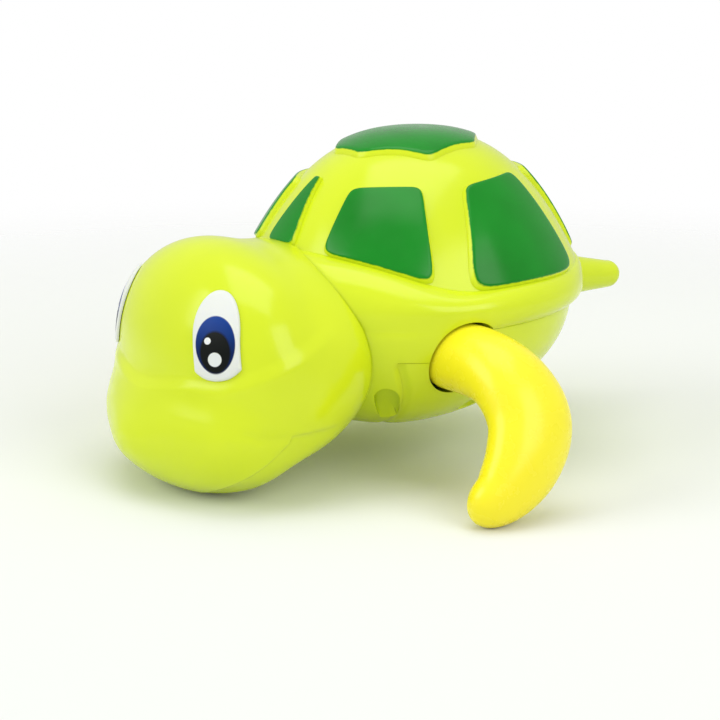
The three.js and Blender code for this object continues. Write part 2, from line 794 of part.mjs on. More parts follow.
// Stations along X inside the case
const caseInner = -caseHalf + caseWall;
const springWheelX = caseInner + trainGap;
const springX = springWheelX + wheelThickness + trainGap;
const governorWheelX = springX + springWidth + trainGap;

// A spur gear with straight-sided teeth, one of them pointing along the given angle.
function gear(teeth, y, z, angle, from, thickness, bore) {
  const pitch = turn / teeth;
  const root = pitchRadius(teeth) - toothFoot * gearModule;
  const tip = pitchRadius(teeth) + toothHead * gearModule;
  const corners = [
    [root, -toothFootShare],
    [tip, -toothHeadShare],
    [tip, toothHeadShare],
    [root, toothFootShare],
  ];
  const shape = new THREE.Shape();
  for (let tooth = 0; tooth < teeth; tooth += 1) {
    const middle = angle + tooth * pitch;
    corners.forEach(([radius, share], corner) => {
      const at = middle + share * pitch;
      const point = [y + radius * Math.cos(at), z + radius * Math.sin(at)];
      if (tooth === 0 && corner === 0) shape.moveTo(...point);
      else shape.lineTo(...point);
    });
  }
  shape.closePath();
  const hole = barSolid('x', bore, from - thickness, from + 2 * thickness, y, z);
  return solidOf(slab(shape, from, from + thickness)).subtract(hole);
}

// The fan of the governor: two flat blades on a hub.
function fanSolid() {
  const bore = governorShaftRadius + seatGap;
  const hub = barSolid('x', 2 * governorShaftRadius, springX, springX + fanWidth, governorY, governorZ);
  const half = governorShaftRadius / 2;
  const blades = box(
    [springX, governorY - fanRadius, governorZ - half],
    [springX + fanWidth, governorY + fanRadius, governorZ + half],
  );
  const hole = barSolid('x', bore, springX - fanWidth, springX + 2 * fanWidth, governorY, governorZ);
  return hub.add(blades).subtract(hole);
}

// The mainspring: a flat strip wound from the arbor out to the rib that holds its end.
const springInner = arborRadius + seatGap;
const springEndAngle = -Math.PI / 2;

function mainspring() {
  const steps = springTurns * springStepsPerTurn;
  const inner = [];
  const outer = [];
  for (let i = 0; i <= steps; i += 1) {
    const share = i / steps;
    const angle = springEndAngle - turn * springTurns * (1 - share);
    const radius = springInner + (springOuter - springInner) * share;
    const at = (r) => new THREE.Vector2(springY + r * Math.cos(angle), springZ + r * Math.sin(angle));
    inner.push(at(radius));
    outer.push(at(radius + springStrip));
  }
  return slab(new THREE.Shape([...inner, ...outer.reverse()]), springX, springX + springWidth);
}

// Motor case

function caseOutline(inset) {
  const [left, right] = [caseFront + inset, caseBack - inset];
  const [low, high] = [caseBottom + inset, caseTop - inset];
  const corner = caseCorner - inset;
  const outline = new THREE.Shape();
  outline.moveTo(left + corner, low);
  outline.lineTo(right - corner, low);
  outline.absarc(right - corner, low + corner, corner, -Math.PI / 2, 0);
  outline.lineTo(right, high - corner);
  outline.absarc(right - corner, high - corner, corner, 0, Math.PI / 2);
  outline.lineTo(left + corner, high);
  outline.absarc(left + corner, high - corner, corner, Math.PI / 2, Math.PI);
  outline.lineTo(left, low + corner);
  outline.absarc(left + corner, low + corner, corner, Math.PI, 1.5 * Math.PI);
  return outline;
}

const caseScrewPlaces = [
  [caseFront + caseBossInset, caseBottom + caseBossInset],
  [caseFront + caseBossInset, caseTop - caseBossInset - frontScrewDrop],
  [caseBack - caseBossInset, caseBottom + caseBossInset + rearScrewRise],
  [caseBack - caseBossInset, caseTop - caseBossInset],
];
const coverInner = caseHalf - coverThickness;
const baseEnd = coverInner - seamGap;
const bushOuter = axleRadius + runGap + bushWall;

// Ear of the case with its screw hole, on one side.
function addEar(solid, side) {
  const xs = [side * (caseHalf - caseWall / 2), side * (earX + earHalf)];
  const ear = box(
    [Math.min(...xs), earY - earHalf, earZ],
    [Math.max(...xs), earY + earHalf, earZ + earThickness],
  );
  return solid.add(ear).subtract(barSolid('z', screwHole, 0, caseTop, side * earX, earY, holeSides));
}

function cutBearings(solid, from, to) {
  return solid
    .subtract(barSolid('x', bushOuter + seatGap, from, to, axleY, axleZ))
    .subtract(barSolid('x', arborRadius + runGap, from, to, springY, springZ))
    .subtract(barSolid('x', governorShaftRadius + runGap, from, to, governorY, governorZ));
}

function motorBase() {
  let base = solidOf(slab(caseOutline(0), -caseHalf, baseEnd));
  base = base.subtract(solidOf(slab(caseOutline(caseWall), caseInner, caseHalf)));
  caseScrewPlaces.forEach(([y, z]) => {
    const holeEnd = caseHalf - screwLength - seatGap;
    base = base.add(barSolid('x', caseBossRadius, caseInner - caseWall / 2, baseEnd, y, z, holeSides));
    base = base.subtract(barSolid('x', screwHole, holeEnd, caseHalf, y, z, holeSides));
  });
  const rib = box(
    [springX, springY - caseWall / 2, caseBottom + caseWall / 2],
    [springX + springWidth, springY + caseWall / 2, springZ - springOuter - springStrip - seatGap],
  );
  return cutBearings(addEar(base.add(rib), -1), -2 * caseHalf, caseInner + caseWall);
}

function motorCover() {
  let cover = addEar(solidOf(slab(caseOutline(0), coverInner, caseHalf)), 1);
  caseScrewPlaces.forEach(([y, z]) => {
    cover = cover.subtract(barSolid('x', screwHole, 0, 2 * caseHalf, y, z, holeSides));
  });
  return cutBearings(cover, 0, 2 * caseHalf);
}

// A flanged plain bearing of the axle in the case wall.
function axleBush(side) {
  const inner = side * (caseHalf - caseWall);
  const face = side * (caseHalf + seatGap);
  const end = side * (caseHalf + seatGap + bushFlange);
  const span = (a, b) => [Math.min(a, b), Math.max(a, b)];
  return barSolid('x', bushOuter, ...span(inner, end), axleY, axleZ)
    .add(barSolid('x', bushOuter + bushFlangeWidth, ...span(face, end), axleY, axleZ))
    .subtract(barSolid('x', axleRadius + runGap, -2 * caseHalf, 2 * caseHalf, axleY, axleZ));
}

// Screws

// A pan-head screw standing on the origin, its shank up along +Y.
function screw(length) {
  const profile = [
    [0, -screwHeadHeight],
    [screwHeadTop * screwHeadRadius, -screwHeadHeight],
    [screwHeadRadius, -screwHeadSide * screwHeadHeight],
    [screwHeadRadius, 0],
    [screwRadius, 0],
    [screwRadius, length - screwRadius],
    [0, length],
  ];
  return new THREE.LatheGeometry(profile.map(([x, y]) => new THREE.Vector2(x, y)), screwSides);
}

const pointing = {
  up: new THREE.Euler(Math.PI / 2, 0, 0),
  down: new THREE.Euler(-Math.PI / 2, 0, 0),
  front: new THREE.Euler(0, 0, Math.PI),
  right: new THREE.Euler(0, 0, Math.PI / 2),
};

function addScrew(name, direction, x, y, z, length = screwLength) {
  const piece = new THREE.Mesh(screw(length), steel);
  piece.name = name;
  piece.rotation.copy(pointing[direction]);
  piece.position.set(x, y, z);
  toy.add(piece);
}

// The toy

addPiece('upper_shell', upperShell(), limePlastic);
addPiece('belly_shell', bellyShell(), limePlastic);
addPiece('head_shell', headShell(), limePlastic);
addPiece('eye_left', eyePlate(1), eyePlastic);
addPiece('eye_right', eyePlate(-1), eyePlastic);

addPiece('flipper_left', flipper(1, 0), yellowPlastic);
addPiece('flipper_right', flipper(-1, farFlipperTurn), yellowPlastic);
addPiece('flipper_axle', axleSolid(), steel);
addPiece('axle_bush_left', axleBush(1), brass);
addPiece('axle_bush_right', axleBush(-1), brass);

const axleBore = axleRadius + seatGap;
const arborBore = arborRadius + seatGap;
const governorBore = governorShaftRadius + seatGap;
const springGapAngle = springAngle + Math.PI + Math.PI / springTeeth;
const governorGapAngle = governorAngle + Math.PI + Math.PI / governorPinionTeeth;
const pinionX = springWheelX - pinionExtra / 2;
const governorPinionX = governorWheelX - pinionExtra / 2;
const pinionThickness = wheelThickness + pinionExtra;
const wheels = [
  ['axle_pinion', pinionTeeth, axleY, axleZ, springAngle, pinionX, pinionThickness, axleBore],
  [
    'governor_wheel', governorWheelTeeth, axleY, axleZ,
    governorAngle, governorWheelX, wheelThickness, axleBore,
  ],
  ['spring_wheel', springTeeth, springY, springZ, springGapAngle, springWheelX, wheelThickness, arborBore],
  [
    'governor_pinion', governorPinionTeeth, governorY, governorZ,
    governorGapAngle, governorPinionX, pinionThickness, governorBore,
  ],
];
wheels.forEach(([name, ...settings]) => addPiece(name, gear(...settings), gearPlastic));
const shaftHalf = caseHalf - seamGap;
addPiece('spring_arbor', bar('x', arborRadius, -shaftHalf, shaftHalf, springY, springZ), steel);
const governorShaft = bar('x', governorShaftRadius, -shaftHalf, shaftHalf, governorY, governorZ);
addPiece('governor_shaft', governorShaft, steel);
addPiece('governor_fan', fanSolid(), brass);
addPiece('mainspring', mainspring(), springSteel);
addPiece('motor_base', motorBase(), casePlastic);
addPiece('motor_cover', motorCover(), casePlastic);

caseScrewPlaces.forEach(([y, z], i) => {
  addScrew(`motor_screw_${i + 1}`, 'right', caseHalf + seatGap, y, z);
});
[earX, -earX].forEach((x, i) => {
  const head = earZ + earThickness + seatGap;
  addScrew(`mount_screw_${i + 1}`, 'down', x, earY, head, mountScrewLength);
});
postPlaces.forEach(([x, y], i) => {
  addScrew(`belly_screw_${i + 1}`, 'up', x, y, wellTop - seatGap);
});
headBossPlaces.forEach((x, i) => {
  addScrew(`head_screw_${i + 1}`, 'front', x, chestFront + shellWall + headPad + seatGap, headBossZ);
});

export default toy;
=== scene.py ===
# %% [markdown]
# # A wind-up bath toy: a swimming sea turtle
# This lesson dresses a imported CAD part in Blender. The CAD part says where every piece is and how
# it moves; this file makes the moulded skins smooth, paints the shell and prints the eyes.
# The toy's lengths are in millimetres and become metres only when a mesh is made. The camera, the
# floor and the lamps are in metres, as Blender takes them.

# %% Load the frame
import math
import bmesh
import bpy
import numpy as np
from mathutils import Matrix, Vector


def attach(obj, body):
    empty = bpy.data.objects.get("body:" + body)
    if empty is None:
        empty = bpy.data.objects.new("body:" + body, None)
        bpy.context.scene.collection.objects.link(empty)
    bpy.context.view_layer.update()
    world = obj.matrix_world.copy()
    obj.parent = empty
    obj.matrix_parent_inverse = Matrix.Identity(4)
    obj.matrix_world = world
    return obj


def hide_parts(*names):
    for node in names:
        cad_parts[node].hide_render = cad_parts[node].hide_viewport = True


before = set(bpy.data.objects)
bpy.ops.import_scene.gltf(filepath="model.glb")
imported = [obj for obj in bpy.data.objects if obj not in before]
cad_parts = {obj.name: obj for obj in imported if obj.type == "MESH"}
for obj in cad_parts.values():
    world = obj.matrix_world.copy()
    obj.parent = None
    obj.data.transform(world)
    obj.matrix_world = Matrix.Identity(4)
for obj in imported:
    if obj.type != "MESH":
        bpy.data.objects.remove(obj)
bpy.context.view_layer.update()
MM = 0.001
TURN = 2 * math.pi

# %% [markdown]
# ## Camera, floor and light
# The toy was photographed a little from above, three quarters from its front left. A long lens of
# 80 mm keeps it undistorted. The floor is a plain pale sheet that fades out into the white room. A
# wide soft lamp overhead, one in front and one at the side give the broad soft highlights of a
# studio tent.

# %% Camera
CAMERA_PLACE = (0.2770, -0.1953, 0.1008)
CAMERA_TARGET = (-0.00194, -0.00713, 0.02008)
LENS_MM = 80
SENSOR_MM = 36
scene = bpy.context.scene


def look_at(holder, place, target):
    """Puts a camera or lamp at a place and turns it towards a target."""
    holder.location = place
    holder.rotation_euler = (Vector(target) - Vector(place)).to_track_quat("-Z", "Y").to_euler()


lens = bpy.data.cameras.new("studio_camera")
lens.lens = LENS_MM
lens.sensor_width = SENSOR_MM
camera = bpy.data.objects.new("studio_camera", lens)
scene.collection.objects.link(camera)
look_at(camera, CAMERA_PLACE, CAMERA_TARGET)
scene.camera = camera
scene.view_settings.view_transform = "Standard"
print("camera with a lens of", LENS_MM, "mm at", CAMERA_PLACE)


# %% Colour and node helpers
def linear(code):
    """An sRGB hex colour as linear red, green, blue and a full alpha."""
    parts = [int(code[i:i + 2], 16) / 255 for i in (1, 3, 5)]
    return (*[c / 12.92 if c <= 0.04045 else ((c + 0.055) / 1.055) ** 2.4 for c in parts], 1.0)


def add(tree, kind, inputs=None, **settings):
    """Adds one node: settings are its own fields, inputs are values or the sockets linked to it."""
    made = tree.nodes.new(kind)
    for field, value in settings.items():
        setattr(made, field, value)
    for socket, value in (inputs or {}).items():
        if isinstance(value, bpy.types.NodeSocket):
            tree.links.new(value, made.inputs[socket])
        else:
            made.inputs[socket].default_value = value
    return made


def blank_material(name):
    """A material with only its output node."""
    material = bpy.data.materials.new(name)
    material.use_nodes = True
    material.node_tree.nodes.clear()
    return material, material.node_tree, add(material.node_tree, "ShaderNodeOutputMaterial")


# %% Floor
FLOOR_HALF = 1.0
FLOOR_CLEAR = 0.16  # distance from the toy's middle at which the floor starts to fade
FLOOR_GONE = 0.42
PAPER_COLOUR = "#ECEEEA"
PAPER_ROUGHNESS = 0.6
floor_mesh = bpy.data.meshes.new("floor")
floor_sides = [(-1, -1), (1, -1), (1, 1), (-1, 1)]
floor_corners = [(x * FLOOR_HALF, y * FLOOR_HALF, 0) for x, y in floor_sides]
floor_mesh.from_pydata(floor_corners, [], [(0, 1, 2, 3)])
floor = bpy.data.objects.new("floor", floor_mesh)
scene.collection.objects.link(floor)
paper, tree, output = blank_material("matt_studio_paper")
sheet = add(tree, "ShaderNodeBsdfDiffuse", {"Color": linear(PAPER_COLOUR), "Roughness": PAPER_ROUGHNESS})
spot = add(tree, "ShaderNodeTexCoord")
distance = add(tree, "ShaderNodeVectorMath", {0: spot.outputs["Object"]}, operation="LENGTH")
fade = add(tree, "ShaderNodeMapRange",
           {"Value": distance.outputs["Value"], "From Min": FLOOR_CLEAR, "From Max": FLOOR_GONE},
           interpolation_type="SMOOTHSTEP")
gone = add(tree, "ShaderNodeBsdfTransparent")
edge = add(tree, "ShaderNodeMixShader", {0: fade.outputs[0], 1: sheet.outputs[0], 2: gone.outputs[0]})
tree.links.new(edge.outputs[0], output.inputs["Surface"])
floor_mesh.materials.append(paper)
print("floor fades out", FLOOR_GONE, "m from the middle")

# %% White room
WHITE = "#FFFFFF"
TENT_LIGHT = 0.64
SEEN_LIGHT = 1.0
world = bpy.data.worlds.new("white_tent")
scene.world = world
world.use_nodes = True
world.node_tree.nodes.clear()
tree = world.node_tree
path_kind = add(tree, "ShaderNodeLightPath")
tent = add(tree, "ShaderNodeBackground", {"Color": linear(WHITE), "Strength": TENT_LIGHT})
seen = add(tree, "ShaderNodeBackground", {"Color": linear(WHITE), "Strength": SEEN_LIGHT})
both = add(tree, "ShaderNodeMixShader",
           {0: path_kind.outputs["Is Camera Ray"], 1: tent.outputs[0], 2: seen.outputs[0]})
add(tree, "ShaderNodeOutputWorld", {"Surface": both.outputs[0]})
print("room lights the toy with", TENT_LIGHT, "and is seen as", SEEN_LIGHT)

# %% Lamps
TOY_MIDDLE = (0, 0, 0.03)
LAMPS = [  # name, place, side of the square, watts
    ("overhead_box", (0.05, -0.05, 0.75), 0.60, 1.9),
    ("front_box", (-0.15, -0.75, 0.45), 0.50, 1.9),
    ("side_box", (0.75, 0.10, 0.45), 0.50, 1.6),
]


def soft_lamp(name, place, size, power):
    """A square area lamp that looks from its place at the toy."""
    lamp = bpy.data.lights.new(name, "AREA")
    lamp.size = size
    lamp.energy = power
    holder = bpy.data.objects.new(name, lamp)
    scene.collection.objects.link(holder)
    look_at(holder, place, TOY_MIDDLE)


for row in LAMPS:
    soft_lamp(*row)
print("lamps", len(LAMPS))

# %% [markdown]
# ## Surfaces as arrays
# A moulded skin is a function of two parameters: an angle round the piece and a share along its
# profile. Numpy works out the whole grid of points at once, and one function turns a grid into a
# mesh. A row whose points are all equal becomes a pole, because equal points are merged.

# %% Grid to mesh
MERGE_DISTANCE = 2e-6  # metres


def merge_and_face_out(mesh):
    """Merges equal points and turns all faces outwards."""
    work = bmesh.new()
    work.from_mesh(mesh)
    bmesh.ops.remove_doubles(work, verts=work.verts, dist=MERGE_DISTANCE)
    bmesh.ops.dissolve_degenerate(work, edges=work.edges, dist=MERGE_DISTANCE)
    bmesh.ops.recalc_face_normals(work, faces=work.faces)
    work.to_mesh(mesh)
    work.free()


def grid_faces(points):
    """Four-sided faces of a grid of points whose last column is joined to its first."""
    rows, columns = points.shape[:2]
    index = np.arange(rows * columns).reshape(rows, columns)
    index = np.concatenate([index, index[:, :1]], axis=1)
    corners = [index[:-1, :-1], index[1:, :-1], index[1:, 1:], index[:-1, 1:]]
    return np.stack(corners, -1).reshape(-1, 4).tolist()


def piece_from(name, points, faces):
    """A mesh object from points in millimetres and the lists of each face's corners."""
    mesh = bpy.data.meshes.new(name)
    mesh.from_pydata((points.reshape(-1, 3) * MM).tolist(), [], faces)
    made = bpy.data.objects.new(name, mesh)
    scene.collection.objects.link(made)
    return made


def grid_piece(name, points):
    """A closed skin from a grid of points whose end rows are poles."""
    made = piece_from(name, points, grid_faces(points))
    merge_and_face_out(made.data)
    return made


print("points closer than", MERGE_DISTANCE, "m are merged")

# %% Shading and cutting
BODY_EDGE, SMALL_EDGE, HEAD_EDGE = 38, 50, 60  # degrees past which a bend stays a sharp edge


def ring_angles(count):
    """Evenly spaced angles once round."""
    return np.arange(count) / count * TURN


def smooth(piece, sharp_degrees):
    """Smooth shading that keeps edges sharper than an angle."""
    piece.data.shade_smooth()
    piece.data.set_sharp_from_angle(angle=math.radians(sharp_degrees))


def carve(piece, cutter, operation="DIFFERENCE"):
    """Joins or cuts a piece by another closed mesh, which is used up."""
    change = piece.modifiers.new("carve", "BOOLEAN")
    change.operation = operation
    change.solver = "EXACT"
    change.object = cutter
    bpy.context.view_layer.update()
    result = bpy.data.meshes.new_from_object(piece.evaluated_get(bpy.context.evaluated_depsgraph_get()))
    piece.modifiers.remove(change)
    used = [piece.data, cutter.data]
    piece.data = result
    bpy.data.objects.remove(cutter)
    for mesh in used:
        bpy.data.meshes.remove(mesh)


def rod(axis, radius, start, end, centre, sides):
    """A closed round bar: a circle carried along one axis, with a pole at each end."""
    a = ring_angles(sides)
    shares = np.array([0, 1, 1, 0])[:, None]
    along = np.array([start, start, end, end])[:, None] + 0 * a
    first = centre[0] + shares * radius * np.cos(a)
    second = centre[1] + shares * radius * np.sin(a)
    order = {"x": (along, first, second), "y": (first, along, second), "z": (first, second, along)}
    return grid_piece("rod", np.stack(order[axis], -1))


# %% [markdown]
# ## The body's form
# The shell is a round dome that meets a rolled rim in a crisp crease. Under the rim the body turns
# in to one round bowl with a flat bottom: its front is the chest, moulded with the dome, and the
# rest is the belly cover. The formulas are the CAD part's own with many more points, so the skins
# lie on the solids. Only the seams differ: they are narrower, the one behind the chest lies a
# little further back, and a soft groove runs down along it.

# %% Body surface
SHELL_TOP = 68.93
SHELL_WALL = 1.8
SEAM_GAP = 0.08
DOME_MIDDLE = 6.2
DOME_FULLNESS = 2.65
CREASE_HALF = (34.5, 34.2)
CREASE_HEIGHT = 43.5
CREASE_NOSE_RISE = 2.2
CREASE_SADDLE = 1.9
CREASE_DIP = 2.2
CREASE_DIP_MIDDLE = 68.0
CREASE_DIP_SPREAD = 20.0
RIM_MIDDLE = 2.6
RIM_HALF = (38.0, 39.2)
RIM_HEIGHT = 37.0
UNDER_TURN = math.pi / 3
BELLY_BOTTOM = 10.0
BELLY_WIDEST = 33.9
BELLY_DEPTH = 26.3
BELLY_MIDDLE = -3.9
BELLY_HALF_WIDTH = 36.2
BELLY_FRONT = 31.1
BELLY_BACK = 44.3
REAR_SEAM = 33.0
FRONT_SEAM = 27.3
CHEST_BACK_AT_SEAM = -19.6
CHEST_BACK_AT_BOTTOM = -11.1
GROOVE_DEPTH = 0.7
GROOVE_WIDTH = 0.7
GROOVE_ANGLES = (60.0, 72.0)  # degrees from the nose
GROOVE_STEP = 0.3
SKIN_COUNTS = (288, 44, 14, 8, 26)  # columns, then rows of dome, roll, under and bowl
ROOM_COUNTS = (120, 20, 6, 3, 12)  # the same for hidden faces
BELLY_SKIN_COUNTS = (288, 36)  # columns and rows of the bowl
BELLY_GAP_COUNTS = (160, 16)
BELLY_ROOM_COUNTS = (120, 16)


def ellipse_radius(half_width, half_length, a):
    """Distance from an ellipse's middle to its edge at an angle from the nose."""
    return 1 / np.hypot(np.sin(a) / half_width, np.cos(a) / half_length)


def around(a, radius, middle, height):
    """Points at an angle from the nose and a radius round a middle on the centre plane."""
    x, y, z = np.broadcast_arrays(radius * np.sin(a), middle - radius * np.cos(a), height)
    return np.stack([x, y, z], -1)


print("rim", 2 * RIM_HALF[0], "mm wide and", 2 * RIM_HALF[1], "mm long")


# %% Dome and rim
def crease_height(a):
    """The crease rises at the nose and sinks at the sides: two cosines, less a bell at each flipper."""
    from_dip = (np.degrees(np.arccos(np.cos(a))) - CREASE_DIP_MIDDLE) / CREASE_DIP_SPREAD
    wave = CREASE_NOSE_RISE * np.cos(a) + CREASE_SADDLE * np.cos(2 * a)
    return CREASE_HEIGHT + wave - CREASE_DIP * np.exp(-from_dip ** 2)


def dome(a, share, grow=0.0):
    """Dome: the radius grows evenly with the share, the height falls with its 2.65th power."""
    foot = crease_height(a) + grow
    height = foot + (SHELL_TOP + grow - foot) * (1 - share ** DOME_FULLNESS)
    return around(a, share * (ellipse_radius(*CREASE_HALF, a) + grow), DOME_MIDDLE, height)


def roll(a, share, grow=0.0):
    """Rolled rim: a quarter ellipse from the crease out and down to the widest ring."""
    arc = share * math.pi / 2
    crease = ellipse_radius(*CREASE_HALF, a) + grow
    rim = ellipse_radius(*RIM_HALF, a) + grow
    middle = DOME_MIDDLE + (RIM_MIDDLE - DOME_MIDDLE) * np.sin(arc)
    height = RIM_HEIGHT + (crease_height(a) + grow - RIM_HEIGHT) * np.cos(arc)
    return around(a, crease + (rim - crease) * np.sin(arc), middle, height)


print("crease over the nose", round(float(crease_height(0.0)), 1), "mm high")


# %% Bowl and groove
def groove(points):
    """Depth of the soft groove along the chest's back edge: a bell over the distance from that line."""
    run = np.array([CHEST_BACK_AT_BOTTOM - CHEST_BACK_AT_SEAM, BELLY_BOTTOM - FRONT_SEAM])
    ahead = np.array([-run[1], run[0]]) / np.linalg.norm(run)
    y, z = points[..., 1] - CHEST_BACK_AT_SEAM, points[..., 2] - FRONT_SEAM
    below = np.clip(-z / GROOVE_WIDTH, 0, 1)
    return GROOVE_DEPTH * below * np.exp(-((y * ahead[0] + z * ahead[1]) / GROOVE_WIDTH) ** 2)


def body_angles(columns):
    """Even angles once round, with a finer set where the groove runs on each side."""
    fine = np.radians(np.arange(*GROOVE_ANGLES, GROOVE_STEP))
    return np.unique(np.concatenate([ring_angles(columns), fine, TURN - fine]))[None, :]


def bowl(a, share, grow=0.0):
    """Bowl: an ellipsoid, longer behind than in front, from the rear seam to its flat bottom."""
    deep = BELLY_DEPTH + grow
    first = math.asin((BELLY_WIDEST - REAR_SEAM) / deep)
    last = math.asin((BELLY_WIDEST - BELLY_BOTTOM + grow) / deep)
    arc = first + (last - first) * share
    length = np.where(np.cos(a) > 0, BELLY_FRONT, BELLY_BACK) + grow
    radius = ellipse_radius(BELLY_HALF_WIDTH + grow, length, a) * np.cos(arc)
    height = BELLY_WIDEST - deep * np.sin(arc)
    return around(a, radius - groove(around(a, radius, BELLY_MIDDLE, height)), BELLY_MIDDLE, height)


def under(a, share, grow=0.0):
    """Under the rim: a sixth of a turn that leads from the widest ring in to the bowl."""
    arc = share * UNDER_TURN
    inward = (1 - np.cos(arc)) / (1 - math.cos(UNDER_TURN))
    down = np.sin(arc) / math.sin(UNDER_TURN)
    rim, foot = roll(a, np.ones_like(share), grow), bowl(a, np.zeros_like(share), grow)
    point = rim + (foot - rim) * inward[..., None]
    point[..., 2] = rim[..., 2] + (foot[..., 2] - rim[..., 2]) * down
    return point


print("bowl", BELLY_WIDEST - BELLY_BOTTOM, "mm deep")


# %% Whole forms
def row_shares(count):
    """Shares from 0 to 1 in even steps, one to a row."""
    return np.linspace(0, 1, count + 1)[:, None]


def body_form(name, grow, counts):
    """The whole body as one closed skin, grown or shrunk evenly."""
    columns, dome_rows, roll_rows, under_rows, bowl_rows = counts
    a = body_angles(columns)
    foot = np.broadcast_to([0, BELLY_MIDDLE, BELLY_BOTTOM - grow], (1, a.size, 3))
    parts = [
        dome(a, row_shares(dome_rows), grow),
        roll(a, row_shares(roll_rows)[1:], grow),
        under(a, row_shares(under_rows)[1:], grow),
        bowl(a, row_shares(bowl_rows)[1:], grow),
        foot,
    ]
    return grid_piece(name, np.concatenate(parts))


def belly_form(name, grow, counts):
    """The bowl of the belly cover, closed by a level lid at the height of the rim."""
    columns, bowl_rows = counts
    a = body_angles(columns)
    edge = bowl(a, np.zeros((1, 1)), grow)
    lid = edge.copy()
    lid[..., 2] = RIM_HEIGHT
    roof = np.broadcast_to([0, BELLY_MIDDLE, RIM_HEIGHT], (1, a.size, 3))
    foot = np.broadcast_to([0, BELLY_MIDDLE, BELLY_BOTTOM - grow], (1, a.size, 3))
    return grid_piece(name, np.concatenate([roof, lid, bowl(a, row_shares(bowl_rows), grow), foot]))


print("skin of", body_angles(SKIN_COUNTS[0]).size, "columns")

# %% [markdown]
# ## Seam, pockets and flipper holes
# The belly cover meets the chest in a stepped seam, and each side has a blind arched pocket and a
# round hole for its flipper. All of them are cuts, so each is a closed bar that a Boolean takes from
# the skins or adds to them. That keeps the edges crisp, as a mould makes them.

# %% Bars that cut the body's pieces
AXLE = (-6.5, 27.5)
FLIPPER_HOLE = 7.7
COLLAR_WALL = 1.4
COLLAR_START = 24.5
POCKET_HALF_WIDTH = 2.55
POCKET_TOP = 21.5
POCKET_FOOT = 14.2
POCKET_AZIMUTH = math.radians(53)
POCKET_MIDDLE = (23.87, -18.04)
POCKET_FLOOR = (24.2, 27.4)
POCKET_WALL = 1.4
FAR = 80.0  # past everything
HOLE_START = 20.0
HOLE_SIDES = 96


def belly_room(gap):
    """A bar along X over the side outline of the belly cover: its seam steps up at the axle."""
    front, foot = CHEST_BACK_AT_SEAM - gap, CHEST_BACK_AT_BOTTOM - gap
    outline = np.array([
        (front, FRONT_SEAM + gap), (foot, BELLY_BOTTOM), (foot, 0), (FAR, 0),
        (FAR, REAR_SEAM + gap), (AXLE[0], REAR_SEAM + gap), (AXLE[0], FRONT_SEAM + gap),
    ])
    count = len(outline)
    sides = [np.column_stack([np.full(count, x), outline]) for x in (-FAR, FAR)]
    loop = np.arange(count)
    walls = np.column_stack([loop, np.roll(loop, -1), np.roll(loop, -1) + count, loop + count])
    faces = [*walls.tolist(), loop.tolist(), (loop[::-1] + count).tolist()]
    made = piece_from("belly_room", np.concatenate(sides), faces)
    merge_and_face_out(made.data)
    return made


def pocket_bar(side, grow, sides=64):
    """A bar with an arched outline that runs outwards from the pocket's slanting floor."""
    out = np.array([math.sin(POCKET_AZIMUTH), -math.cos(POCKET_AZIMUTH)])
    along = np.array([math.cos(POCKET_AZIMUTH), math.sin(POCKET_AZIMUTH)])
    a = ring_angles(sides)
    radius, arch = POCKET_HALF_WIDTH + grow, POCKET_TOP - POCKET_HALF_WIDTH
    height = arch + np.sin(a) * np.where(np.sin(a) > 0, radius, arch - POCKET_FOOT + radius)
    rise = (height - POCKET_FOOT) / (POCKET_TOP - POCKET_FOOT)
    floor_at = POCKET_FLOOR[0] + (POCKET_FLOOR[1] - POCKET_FLOOR[0]) * rise - grow
    across = np.dot(POCKET_MIDDLE, along) + radius * np.cos(a)
    rings = []
    for reach in (floor_at, np.full(sides, FAR)):
        plan = reach[:, None] * out + across[:, None] * along
        ring = np.column_stack([side * plan[:, 0], plan[:, 1], height])
        middle = np.broadcast_to(ring.mean(axis=0), ring.shape)
        rings += [ring, middle] if rings else [middle, ring]
    return grid_piece("pocket_bar", np.stack(rings))


def pocket_pad(side, extra=0.0):
    """The wall behind a pocket: a thicker bar that stays inside the body's skin."""
    pad = pocket_bar(side, POCKET_WALL + extra)
    carve(pad, body_form("pad_room", -SHELL_WALL / 2, ROOM_COUNTS), "INTERSECT")
    return pad


def add_collars(piece):
    """Joins a short tube behind each flipper hole, so the hole has a moulded throat."""
    for side in (1, -1):
        outside = FLIPPER_HOLE + COLLAR_WALL
        collar = rod("x", outside, side * COLLAR_START, side * FAR, AXLE, HOLE_SIDES)
        carve(collar, body_form("collar_room", -SHELL_WALL / 2, ROOM_COUNTS), "INTERSECT")
        carve(piece, collar, "UNION")


def cut_flipper_holes(piece):
    """Cuts the flipper holes through both sides of a piece."""
    for side in (1, -1):
        carve(piece, rod("x", FLIPPER_HOLE, side * HOLE_START, side * FAR, AXLE, HOLE_SIDES))


print("flipper holes", 2 * FLIPPER_HOLE, "mm and pockets", 2 * POCKET_HALF_WIDTH, "mm across")


# %% [markdown]
# ## Upper shell with chest and tail
# On the real toy the dome, the rim, the chest and the tail are one moulding of lime ABS. The skin
# is a closed form less a smaller one, so the wall is real. The belly's room is cut from it, then a
# blind arched pocket on each side of the chest with a wall behind it, and the flipper holes with
# their short collars. The tail is a tapered tube that flares where it meets the rim.

# %% Upper shell
TAIL_REACH = 65.0
TAIL_HEIGHT = 32.3
TAIL_ROOT_RISE = 2.0
TAIL_ROOT_RADIUS = 5.9
TAIL_TIP_RADIUS = 3.2
TAIL_FLARE = 1.6
TAIL_FLARE_LENGTH = 2.2
TAIL_TIP_ROWS = 14


